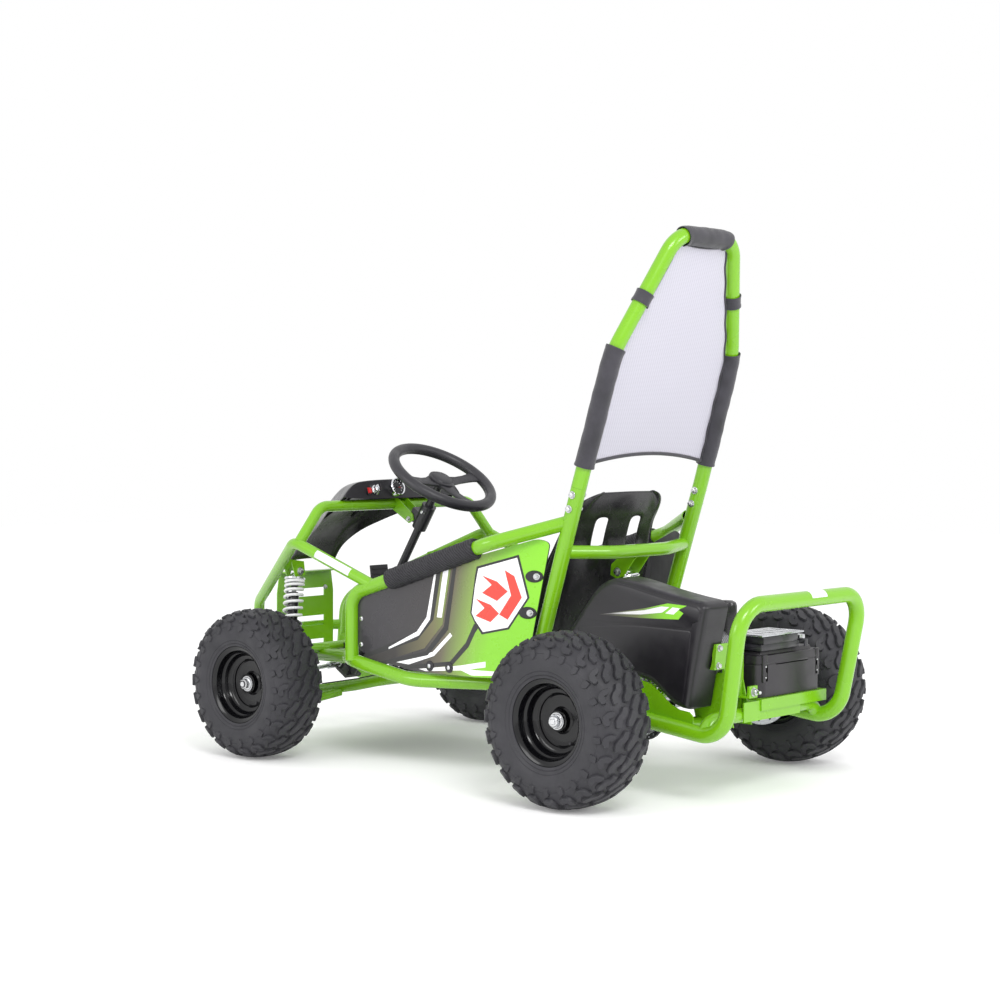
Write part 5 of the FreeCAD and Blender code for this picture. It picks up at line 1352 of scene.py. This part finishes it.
def battery_hold():
    """Folded black bracket on the case, slotted plate on it, a strap with its buckle."""
    bm = new_bm()
    block(bm, (-643, -128, 288), (-567, 8, 302), 1, 3.0)
    block(bm, (-646, -120, 301), (-564, 4, 318), 1, 4.0)
    # plate with three long slots cut as a comb of strips
    x0, x1, y0, y1 = -649.6, -560.4, -135.0, 15.0
    cells_y = [(-135, -118), (-112, -86), (-80, -52), (-46, -18), (-12, 15)]
    z0, z1 = 318.2, 321.6
    block(bm, (x0, y0, z0), (x0 + 16, y1, z1), 0, 0.8)
    block(bm, (x1 - 16, y0, z0), (x1, y1, z1), 0, 0.8)
    for a, b in cells_y:
        block(bm, (x0 + 15, a, z0), (x1 - 15, b, z1), 0, 0.5)
    for x, y in ((-640, -126), (-570, -126), (-640, 6), (-570, 6)):
        bolt(bm, V(x, y, 321.0), Z, af=8, head=0.6, washer=0, mat=0)
    # strap over the block and down the rear of the case
    block(bm, (-648.5, -150, 300), (-566, -138, 303), 2, 1.0)
    block(bm, (-649.8, -150, 288), (-646.5, -138, 303), 2, 1.0)
    block(bm, (-640, -154, 303), (-610, -134, 312), 3, 2.0)
    return make("battery_hold_down", bm, ["steel", "black_metal", "cloth", "zinc"], "chassis", ("battery_clamp",), angle=30)


battery_hold()

# ------------------------------------------------------------------ motor


def motor():
    bm = new_bm()
    c, n = V(-560, 0, 286), Y
    prof = [(0, 24), (40, 24), (44, 25), (52, 27), (54, 30)]
    y = 33.0
    prof.append((54, y))
    # ribs round the can
    while y < 118:
        prof += [(50.5, y + 0.6), (50.5, y + 2.6), (55.6, y + 3.2), (55.6, y + 5.4)]
        y += 6.0
    prof += [(54, y + 1), (54, 126), (50, 130), (0, 130)]
    lathe(bm, prof, c, n, 72, 0)
    lathe(bm, [(0, 0), (6, 0), (6, 26), (0, 26)], c + Y * 130, Y, 20, 1)
    teeth = []
    for k in range(11):
        a = 2 * math.pi * k / 11
        for da, r in ((-0.16, 16.5), (-0.07, 20), (0.07, 20), (0.16, 16.5)):
            teeth.append((r * math.cos(a + da), r * math.sin(a + da)))
    slab(bm, teeth, c, X, Z, Y, 147.5, 152.5, 1)
    # terminal cap on top
    lathe(bm, [(0, 20), (21, 20), (22, 26), (22, 94), (19.5, 101), (13, 104.5), (0, 105.5)], V(-584, 48, 286), Z, 40, 2)
    for k in range(4):
        a = math.radians(45 + 90 * k)
        bolt(bm, c + Y * 24 + V(math.cos(a) * 36, 0, math.sin(a) * 36), -Y, af=7, head=3.5, washer=0, mat=1)
    return make("motor_can", bm, ["motor_alloy", "steel", "gloss_plastic"], "chassis", ("motor",), angle=28)


motor()

# ------------------------------------------------------------------ chain, sprocket, disc, caliper


def loop_path(grow):
    a, ra = V(RX, 150, RZ), 58.0 + grow
    b, rb = V(-560, 150, 286), 17.0 + grow
    d = b - a
    L = d.length
    u = d.normalized()
    n = V(-u.z, 0, u.x)
    k = (ra - rb) / L
    c = math.sqrt(1 - k * k)
    pts = []
    m1 = u * k + n * c
    m2 = u * k - n * c
    # wrap on the motor sprocket, then back, then the long wrap on the axle sprocket
    a1 = math.atan2(m1.z, m1.x)
    a2 = math.atan2(m2.z, m2.x)
    du = math.atan2(u.z, u.x)

    def arc(cen, r, s, e, steps):
        return [cen + V(math.cos(s + (e - s) * i / steps) * r, 0, math.sin(s + (e - s) * i / steps) * r) for i in range(steps + 1)]

    def unwrap(x, ref):
        while x - ref > math.pi:
            x -= 2 * math.pi
        while x - ref < -math.pi:
            x += 2 * math.pi
        return x

    s1, s2 = unwrap(a1, du), unwrap(a2, du)
    small = arc(b, rb, s1, s2, 24)
    far = du + math.pi
    l2, l1 = unwrap(a2, far), unwrap(a1, far)
    big = arc(a, ra, l2, l1, 60)
    return small + big + [small[0]]


def chain():
    path = loop_path(4.5)
    s = along(path)
    total = s[-1]
    count = int(round(total / 12.7 / 2)) * 2
    pitch = total / count
    pins = []
    for k in range(count):
        t = k * pitch
        i = max(j for j in range(len(s) - 1) if s[j] <= t)
        pins.append(path[i].lerp(path[i + 1], (t - s[i]) / max(s[i + 1] - s[i], 1e-9)))
    bm = new_bm()
    for k in range(count):
        a, b = pins[k], pins[(k + 1) % count]
        ex = (b - a).normalized()
        ez = Y.cross(ex)
        L = (b - a).length
        plate = []
        for j in range(9):
            an = math.pi / 2 + math.pi * j / 8
            plate.append((5.0 * math.cos(an), 4.6 * math.sin(an)))
        for j in range(9):
            an = -math.pi / 2 + math.pi * j / 8
            plate.append((L + 5.0 * math.cos(an), 4.6 * math.sin(an)))
        off = 3.9 if k % 2 else 2.6
        for sg in (1, -1):
            slab(bm, plate, a, ex, ez, Y, sg * off, sg * (off + 1.3), 0)
        lathe(bm, [(0, -5.4), (2.0, -5.4), (2.0, -2.6), (3.6, -2.6), (3.6, 2.6), (2.0, 2.6), (2.0, 5.4), (0, 5.4)], a, Y, 12, 1)
    return make("chain_links", bm, ["black_metal", "steel"], "chassis", ("drive_chain",), angle=30)


chain()


def sprocket():
    bm = new_bm()
    c = V(RX, 0, RZ)
    teeth = []
    for k in range(30):
        a = 2 * math.pi * k / 30
        for da, r in ((-0.060, 56.5), (-0.022, 61.8), (0.022, 61.8), (0.060, 56.5)):
            teeth.append((r * math.cos(a + da), r * math.sin(a + da)))
    outer = teeth
    n = len(outer)
    hole = [(40 * math.cos(2 * math.pi * i / n), 40 * math.sin(2 * math.pi * i / n)) for i in range(n)]
    for y0, y1 in ((147.6, 152.4),):
        vo0 = [bm.verts.new(c + V(x, y0, z)) for x, z in outer]
        vo1 = [bm.verts.new(c + V(x, y1, z)) for x, z in outer]
        vi0 = [bm.verts.new(c + V(x, y0, z)) for x, z in hole]
        vi1 = [bm.verts.new(c + V(x, y1, z)) for x, z in hole]
        for i in range(n):
            j = (i + 1) % n
            bm.faces.new((vo0[i], vo0[j], vo1[j], vo1[i]))
            bm.faces.new((vi0[j], vi0[i], vi1[i], vi1[j]))
            bm.faces.new((vo1[i], vo1[j], vi1[j], vi1[i]))
            bm.faces.new((vo0[j], vo0[i], vi0[i], vi0[j]))
    lathe(bm, [(13, 149), (22, 149), (40, 148.2), (42, 149), (42, 151), (40, 151.8), (22, 151), (22, 152.4), (13, 152.4)], c, Y, 48, 0, closed=True)
    lathe(bm, [(12.7, 130.5), (23, 130.5), (24, 131.5), (24, 148.5), (12.7, 148.5)], c, Y, 40, 0, closed=True)
    for k in range(4):
        a = math.radians(45 + 90 * k)
        bolt(bm, c + V(math.cos(a) * 31, 151.2, math.sin(a) * 31), Y, af=7, head=3, washer=0, mat=0)
    return make("axle_sprocket_teeth", bm, "steel", "rear_wheels", ("axle_sprocket",), angle=30)


sprocket()


def disc():
    """Perforated brake disc: a ring grid with round holes left open in three rows."""
    bm = new_bm()
    c = V(RX, 0, RZ)
    y0, y1 = -272.0, -268.0
    rows = [(46.0, 0.0, 15), (58.0, 0.5, 15), (70.0, 0.0, 15)]
    # sector cells with a hole in the middle of each
    for r, shift, cnt in rows:
        r0, r1 = r - 6.0, r + 6.0
        for k in range(cnt * 2):
            a0 = 2 * math.pi * (k + shift) / (cnt * 2)
            a1 = 2 * math.pi * (k + 1 + shift) / (cnt * 2)
            am = (a0 + a1) / 2
            corner = []
            m = 4
            for i in range(m):
                corner.append((r0, a0 + (a1 - a0) * i / m))
            for i in range(m):
                corner.append((r0 + (r1 - r0) * i / m, a1))
            for i in range(m):
                corner.append((r1, a1 + (a0 - a1) * i / m))
            for i in range(m):
                corner.append((r1 + (r0 - r1) * i / m, a0))
            pts = [Vector((rr * math.cos(aa), rr * math.sin(aa))) for rr, aa in corner]
            cen = Vector((r * math.cos(am), r * math.sin(am)))
            hole_r = 3.1 if k % 2 == 0 else 0.0
            for y, flip in ((y0, False), (y1, True)):
                ring = [bm.verts.new(c + V(p.x, y, p.y)) for p in pts]
                if hole_r:
                    inner = []
                    for p in pts:
                        d = (p - cen).normalized() * hole_r
                        inner.append(bm.verts.new(c + V(cen.x + d.x, y, cen.y + d.y)))
                    for i in range(len(pts)):
                        j = (i + 1) % len(pts)
                        vs = (ring[i], ring[j], inner[j], inner[i])
                        bm.faces.new(tuple(reversed(vs)) if flip else vs)
                    if not flip:
                        low_in = inner
                    else:
                        for i in range(len(pts)):
                            j = (i + 1) % len(pts)
                            bm.faces.new((low_in[i], low_in[j], inner[j], inner[i]))
                else:
                    bm.faces.new(tuple(reversed(ring)) if flip else ring)
    for r, d in ((40.0, 1), (76.0, 0)):
        segs = 120
        lo = [bm.verts.new(c + V(r * math.cos(2 * math.pi * i / segs), y0, r * math.sin(2 * math.pi * i / segs))) for i in range(segs)]
        hi = [bm.verts.new(c + V(r * math.cos(2 * math.pi * i / segs), y1, r * math.sin(2 * math.pi * i / segs))) for i in range(segs)]
        for i in range(segs):
            bm.faces.new((lo[i], lo[(i + 1) % segs], hi[(i + 1) % segs], hi[i]))
    bmesh.ops.remove_doubles(bm, verts=bm.verts[:], dist=0.02)
    lathe(bm, [(76, y0), (79.4, y0), (80, y0 + 0.6), (80, y1 - 0.6), (79.4, y1), (76, y1)], c, Y, 120, 0)
    lathe(bm, [(12.7, y0 + 0.4), (40.2, y0 + 0.4), (40.2, y1 - 0.4), (24, y1), (24, -247), (23, -246), (12.7, -246)], c, Y, 60, 1, closed=True)
    for k in range(4):
        a = math.radians(45 + 90 * k)
        bolt(bm, c + V(math.cos(a) * 31, y0 + 0.3, math.sin(a) * 31), -Y, af=7, head=2.6, washer=0, mat=0)
    return make("brake_disc_plate", bm, ["steel", "black_metal"], "rear_wheels", ("brake_disc",), angle=30)


disc()


def caliper():
    bm = new_bm()
    x0, z0 = RX, RZ
    # two pads' housings each side of the disc and the bridge over its edge
    body = rounded([(x0 + 40, z0 + 30), (x0 + 76, z0 + 34), (x0 + 96, z0 + 48), (x0 + 97, z0 + 78), (x0 + 60, z0 + 79), (x0 + 42, z0 + 62)], 8, 3)
    slab(bm, body, V(0, 0, 0), X, Z, Y, -289, -275.5, 0, inset_top=0)
    slab(bm, body, V(0, 0, 0), X, Z, Y, -264.5, -256, 0)
    bridge = rounded([(x0 + 62, z0 + 64), (x0 + 92, z0 + 50), (x0 + 97, z0 + 78), (x0 + 64, z0 + 79)], 5, 3)
    slab(bm, bridge, V(0, 0, 0), X, Z, Y, -277, -262, 0)
    lathe(bm, [(0, 0), (15, 0), (15, 4), (13, 6), (6, 6.6), (0, 6.6)], V(x0 + 70, -258, z0 + 54), Y, 32, 0)
    stay = rounded([(x0 + 36, 180), (x0 + 62, 180), (x0 + 92, 212), (x0 + 92, 236), (x0 + 60, 240), (x0 + 28, 208)], 6, 3)
    slab(bm, stay, V(0, 0, 0), X, Z, Y, -255.5, -251, 1)
    arm = rounded([(x0 + 36, 180), (x0 + 62, 180), (x0 + 72, 196), (x0 + 42, 204)], 4, 2)
    slab(bm, arm, V(0, 0, 0), X, Z, Y, -250, -216, 1)
    for p in ((x0 + 62, 226), (x0 + 84, 214)):
        bolt(bm, V(p[0], -251, p[1]), Y, af=8, head=4, washer=0, mat=2)
    return make("brake_caliper_body", bm, ["black_metal", "green", "zinc"], "chassis", ("brake_caliper",), angle=30, bevel=0.6)


caliper()

# ------------------------------------------------------------------ dash cowl
# sections front to back: x, half width low, z low, half width mid, z mid, half width top, z top, crown
COWL = (
    (366.5, 195, 573, 174, 596, 136, 610, 613.5),
    (400, 180, 562, 160, 588, 128, 606, 612),
    (438, 159, 552, 142, 580, 117, 600, 606),
    (475, 140, 537, 124, 566, 104, 582, 588),
    (513, 118, 521, 106, 545, 90, 561, 566),
    (550, 97, 502, 88, 524, 76, 540, 546),
    (588, 77, 483, 71, 502, 62, 518, 524),
    (640, 67, 447, 62, 462, 54, 474, 480),
    (668, 74, 417, 68, 430, 58, 440, 446),
    (693, 81, 388, 74, 397, 64, 406, 411),
)


def cowl():
    bm = new_bm()
    rows = []
    for x, w0, z0, w1, z1, w2, z2, zc in COWL:
        pts = [(w0, z0), (w0 - (w0 - w1) * 0.35, z0 + (z1 - z0) * 0.45), (w1, z1), ((w1 + w2) / 2 + 3, (z1 + z2) / 2 + 3), (w2, z2),
               (w2 * 0.72, z2 + (zc - z2) * 0.55), (w2 * 0.40, zc - 1.0), (0, zc)]
        row = [(x, -y, z) for y, z in pts[:-1]] + [(x, y, z) for y, z in reversed(pts)]
        rows.append(row)
    verts = [[bm.verts.new(p) for p in row] for row in rows]
    for a, b in zip(verts, verts[1:]):
        for j in range(len(a) - 1):
            bm.faces.new((a[j], a[j + 1], b[j + 1], b[j]))
    ob = make("dash_hood", bm, "gloss_plastic", "chassis", ("dash_cowl",), angle=50)
    s = ob.modifiers.new("wall", "SOLIDIFY")
    s.thickness = 0.003
    s.offset = -1.0
    b = ob.modifiers.new("round", "SUBSURF")
    b.levels = b.render_levels = 2
    # dash board behind the hood's rear edge, and ribs on the underside
    bm = new_bm()
    board = rounded([(-194, 573), (-172, 595), (-134, 609), (0, 612), (134, 609), (172, 595), (194, 573), (120, 569), (0, 568), (-120, 569)], 8, 3)
    slab(bm, board, V(0, 0, 0), Y, Z, V(-1, 0, 0), -371.0, -366.2, 0)
    for y in (-45, 45):
        pts = []
        for x, w0, z0, w1, z1, w2, z2, zc in COWL[:7]:
            if abs(y) < w2:
                pts.append((x, zc - 5.5))
            else:
                t = (abs(y) - w2) / max(w1 - w2, 1)
                pts.append((x, z2 + (z1 - z2) * min(t, 1.0) - 6))
        low = [(x, z - 7) for x, z in pts]
        poly = pts + list(reversed(low))
        slab(bm, [(x, z) for x, z in poly], V(0, y - 1.2, 0), X, Z, Y, 0.0, 2.4, 0)
    make("dash_board", bm, "black_plastic", "chassis", angle=30, bevel=0.6)
    return ob


cowl()


def gauges():
    n = V(-1, 0, 0.35).normalized()
    ey = Y
    ez = n.cross(ey)
    if ez.z < 0:
        ez = -ez
    bm = new_bm()
    c = V(366.2, 30, 592)
    # round gauge: chrome ring, sloping inner wall, dial with ticks and a needle
    lathe(bm, [(0, -3), (20, -3), (20.6, 9.5), (21, 11), (20.2, 13), (18.6, 13.4), (17.6, 12.0), (17.4, 9.0), (17.2, 7.6)], c, n, 56, 0)
    lathe(bm, [(0, 7.8), (17.4, 7.8)], c, n, 56, 1)
    for k in range(11):
        a = math.radians(-130 + 26 * k)
        d = ez * math.cos(a) + ey * math.sin(a)
        w = n.cross(d)
        slab(bm, [(-0.4, 11.5), (0.4, 11.5), (0.4, 15.0), (-0.4, 15.0)], c, w, d, n, 7.7, 8.1, 2)
    a = math.radians(-100)
    d = ez * math.cos(a) + ey * math.sin(a)
    slab(bm, [(-0.6, -2), (0.6, -2), (0.3, 12.5), (-0.3, 12.5)], c, n.cross(d), d, n, 8.2, 8.9, 3)
    lathe(bm, [(0, 8), (2.4, 8), (2.0, 10), (0, 10.2)], c, n, 16, 4)
    # key switch
    c = V(366.2, 93, 590)
    lathe(bm, [(0, -2), (12, -2), (12.5, 1), (11, 3), (9, 3.4), (9, 10), (8.4, 11.2), (6.6, 11.6), (5.8, 10.6), (0, 10.6)], c, n, 36, 0)
    slab(bm, [(-0.9, -4.2), (0.9, -4.2), (0.9, 4.2), (-0.9, 4.2)], c, ey, ez, n, 10.5, 11.0, 4)
    slab(bm, rounded([(-1.1, -3.4), (1.1, -3.4), (1.1, 3.4), (-1.1, 3.4)], 0.4, 2), c, ey, ez, n, 10.6, 14, 5)
    slab(bm, rounded([(-1.6, -8), (1.6, -8), (1.6, 8), (-1.6, 8)], 1.2, 2), c, ey, ez, n, 14, 19, 4)
    # red rocker in its bezel
    c = V(366.2, 115, 587)
    slab(bm, rounded([(-7, -9), (7, -9), (7, 9), (-7, 9)], 2, 3), c, ey, ez, n, -1, 2.4, 4)
    slab(bm, rounded([(-5, -7), (5, -7), (5, 7), (-5, 7)], 1.2, 2), c, ey, ez, n, 2.0, 6.0, 3, inset_top=1.2)
    return make("dash_instruments", bm, ["chrome", "dial_face", "decal_white", "red_plastic", "gloss_plastic", "steel"], "chassis",
                ("dash_gauges",), angle=30)


gauges()

# ------------------------------------------------------------------ pedals


def pedal(name, node, x, lean, y, wide):
    bm = new_bm()
    x1, x2 = x + lean, x + lean + 13.0
    c = V(0, y, 0)

    def ft(px):
        """Upper face of the floor sheet."""
        return 195.3 - 0.2268 * (px - 214.0)

    arm = [(x - 5, ft(x) + 5), (x + 5, ft(x) + 5), (x1 + 6, 362), (x1 + 4, 371), (x1 - 3, 371)]
    slab(bm, rounded(arm, 3, 2), c, X, Z, Y, -5, 5, 1)
    face = [(x1 + 3, 336), (x1 + 8, 335), (x2 + 6, 417), (x2 + 2, 418)]
    slab(bm, rounded(face, 1.5, 2), c, X, Z, Y, -wide / 2 + 1, wide / 2 - 1, 0)
    # grip ribs on the driver's side
    d = V(x2 - x1, 0, 84).normalized()
    nrm = V(-d.z, 0, d.x)
    for k in range(7):
        p = V(x1 + 3.2, y, 342) + d * (k * 11.5)
        slab(bm, rounded([(-wide / 2 + 4, -2), (wide / 2 - 4, -2), (wide / 2 - 4, 2), (-wide / 2 + 4, 2)], 1.5, 2), p, Y, d, nrm, -0.4, 1.8, 0)
    lathe(bm, [(0, -9), (7, -9), (7, 9), (0, 9)], V(x, y, ft(x) + 15), Y, 28, 2)
    slab(bm, [(x - 23, ft(x - 23) + 0.3), (x + 11, ft(x + 11) + 0.3), (x + 11, ft(x + 11) + 9), (x - 23, ft(x - 23) + 9)], c, X, Z, Y,
         -17, 17, 1)
    return make(name, bm, ["pedal_rubber", "black_metal", "zinc"], "chassis", (node,), angle=30)


pedal("accelerator_pedal_detail", "accelerator_pedal", 305.0, 32.0, -95.0, 50.0)
pedal("brake_pedal_detail", "brake_pedal", 305.0, 32.0, 95.0, 56.0)

# ------------------------------------------------------------------ hardware on the chassis


def hardware():
    bm = new_bm()
    d = (joint - V(-204, 205, 200)).normalized()
    for s in (1, -1):
        # roll bar joint: two cross bolts, head outside, nut inside
        for dist in (16, 46):
            p = V(-332, s * 208, 614) - d * dist
            bolt(bm, p + V(0, s * 15.8, 0), V(0, s, 0), af=10, head=5.0, washer=8)
            bolt(bm, p - V(0, s * 15.8, 0), V(0, -s, 0), af=10, head=6.0, washer=8, tail=3.5)
        # upper front shock eyes
        for x, sg in ((469.0, -1), (501.0, 1)):
            bolt(bm, V(x, s * 232, 404), V(sg, 0, 0), af=11, head=6, washer=9, tail=3 if sg > 0 else 0)
        for x, sg in ((443.5, -1), (489.5, 1)):
            bolt(bm, V(x, s * 262, 262), V(sg, 0, 0), af=11, head=6, washer=9, tail=3 if sg > 0 else 0)
        # kingpin ends
        bolt(bm, V(FX, s * 290, 243), Z, af=14, head=7, washer=11, tail=4)
        bolt(bm, V(FX, s * 290, 95), -Z, af=14, head=6, washer=11)
        # swing frame pivots
        bolt(bm, V(-238, s * 196, 182), V(0, s, 0), af=12, head=6, washer=9)
        # bearing carrier bolts
        for k in range(3):
            a = math.radians(30 + 120 * k)
            bolt(bm, V(RX + math.cos(a) * 29, s * 215, RZ + math.sin(a) * 29), V(0, s, 0), af=8, head=4, washer=0)
    # rear shock eye bolts
    for y, sg in ((28, 1), (-28, -1)):
        bolt(bm, V(-287, y - sg * 4, 431), V(0, sg, 0), af=11, head=6, washer=9, tail=3 if sg < 0 else 0)
        bolt(bm, V(-398, y - sg * 4, 222), V(0, sg, 0), af=11, head=6, washer=9)
    # column clamp bolts and plates of the dash hoop
    for y, sg in ((17.2, 1), (-17.2, -1)):
        bolt(bm, V(384, y, 559), V(0, sg, 0), af=8, head=4, washer=6)
        bolt(bm, V(334, y, 521), V(0, sg, 0), af=8, head=4, washer=6)
        bolt(bm, V(291, y * 14.0 / 17.2, 538), V(0, sg, 0), af=8, head=4, washer=6)
    # cover bolts on the bracket ear, tensioner stud
    for x, z in ((-622.5, 269), (-625.1, 304)):
        bolt(bm, V(x, 128, z), V(-1, 0, 0), af=9, head=5, washer=7)
    bolt(bm, V(-660, 60, 214), V(-1, 0, 0), af=12, head=7, washer=9, tail=9)
    for y in (-64, 64):
        for z in (338,):
            bolt(bm, V(700.0, y, z), V(-1, 0, 0), af=8, head=4, washer=6)
    return make("chassis_hardware", bm, "zinc", "chassis", angle=30)


hardware()

# ------------------------------------------------------------------ blank stickers


def tube_patch(bm, a, b, r, facing, spread, n=10, m=8):
    """Curved patch on a straight tube from a to b, centred on the facing direction."""
    d = (b - a).normalized()
    f = (facing - d * facing.dot(d)).normalized()
    g = d.cross(f)
    rows = []
    for i in range(m + 1):
        p = a.lerp(b, i / m)
        rows.append([bm.verts.new(p + (f * math.cos(t) + g * math.sin(t)) * r) for t in (-spread + 2 * spread * j / n for j in range(n + 1))])
    for p, q in zip(rows, rows[1:]):
        for j in range(n):
            bm.faces.new((p[j], p[j + 1], q[j + 1], q[j]))


bm = new_bm()
a, b = V(158, 300, 390), V(395, 318, 478)
u = (b - a)
tube_patch(bm, a + u * 0.28, a + u * 0.70, 12.75, V(-0.3, 1, 0.35), 0.75)
tube_patch(bm, V(-736.2, -62, 399), V(-736.2, -8, 399), 16.25, V(-0.5, 0, 1), 0.95)
st = make("blank_stickers", bm, "sticker_white", "chassis", angle=60)
sm = st.modifiers.new("thickness", "SOLIDIFY")
sm.thickness = 0.0002

# ------------------------------------------------------------------ stage and lights
bm = new_bm()
vs = [bm.verts.new(p) for p in ((-9000, -9000, 0), (9000, -9000, 0), (9000, 9000, 0), (-9000, 9000, 0))]
bm.faces.new(vs)
m, t, p = nodes_of("floor")
vec = obj_coords(t)
t.links.new(ramp(t, noise(t, vec, 3.0), [(0.3, (0.90, 0.90, 0.90, 1)), (0.7, (0.92, 0.92, 0.92, 1))]), p.inputs["Base Color"])
p.inputs["Roughness"].default_value = 0.9
p.inputs["Specular IOR Level"].default_value = 0.1
p.inputs["Emission Color"].default_value = (1.0, 1.0, 1.0, 1.0)
p.inputs["Emission Strength"].default_value = 0.15
for v in bm.verts:
    v.co *= MM
me = bpy.data.meshes.new("floor_plane")
bm.to_mesh(me)
bm.free()
me.materials.append(MATS["floor"])
floor = bpy.data.objects.new("floor_plane", me)
scene.collection.objects.link(floor)

world = bpy.data.worlds.new("studio")
scene.world = world
world.use_nodes = True
bg = world.node_tree.nodes["Background"]
bg.inputs["Color"].default_value = (1.0, 1.0, 1.0, 1.0)
bg.inputs["Strength"].default_value = 1.0


def area(name, loc, target, size, power, size_y=None, color=(1, 1, 1)):
    d = bpy.data.lights.new(name, "AREA")
    d.shape = "RECTANGLE"
    d.size = size
    d.size_y = size_y or size
    d.energy = power
    d.color = color
    o = bpy.data.objects.new(name, d)
    o.location = loc
    o.rotation_mode = "QUATERNION"
    o.rotation_quaternion = (Vector(target) - Vector(loc)).to_track_quat("-Z", "Y")
    scene.collection.objects.link(o)
    return o


area("key", (-3.2, 2.2, 3.4), (0, 0, 0.4), 1.8, 90, 1.2)
area("fill", (1.0, 4.2, 1.8), (0, 0, 0.4), 2.0, 40, 1.4)
area("rear", (-4.4, -1.2, 2.2), (-0.2, 0, 0.5), 1.4, 40, 1.0)
scene.view_settings.view_transform = "Standard"
scene.view_settings.look = "None"
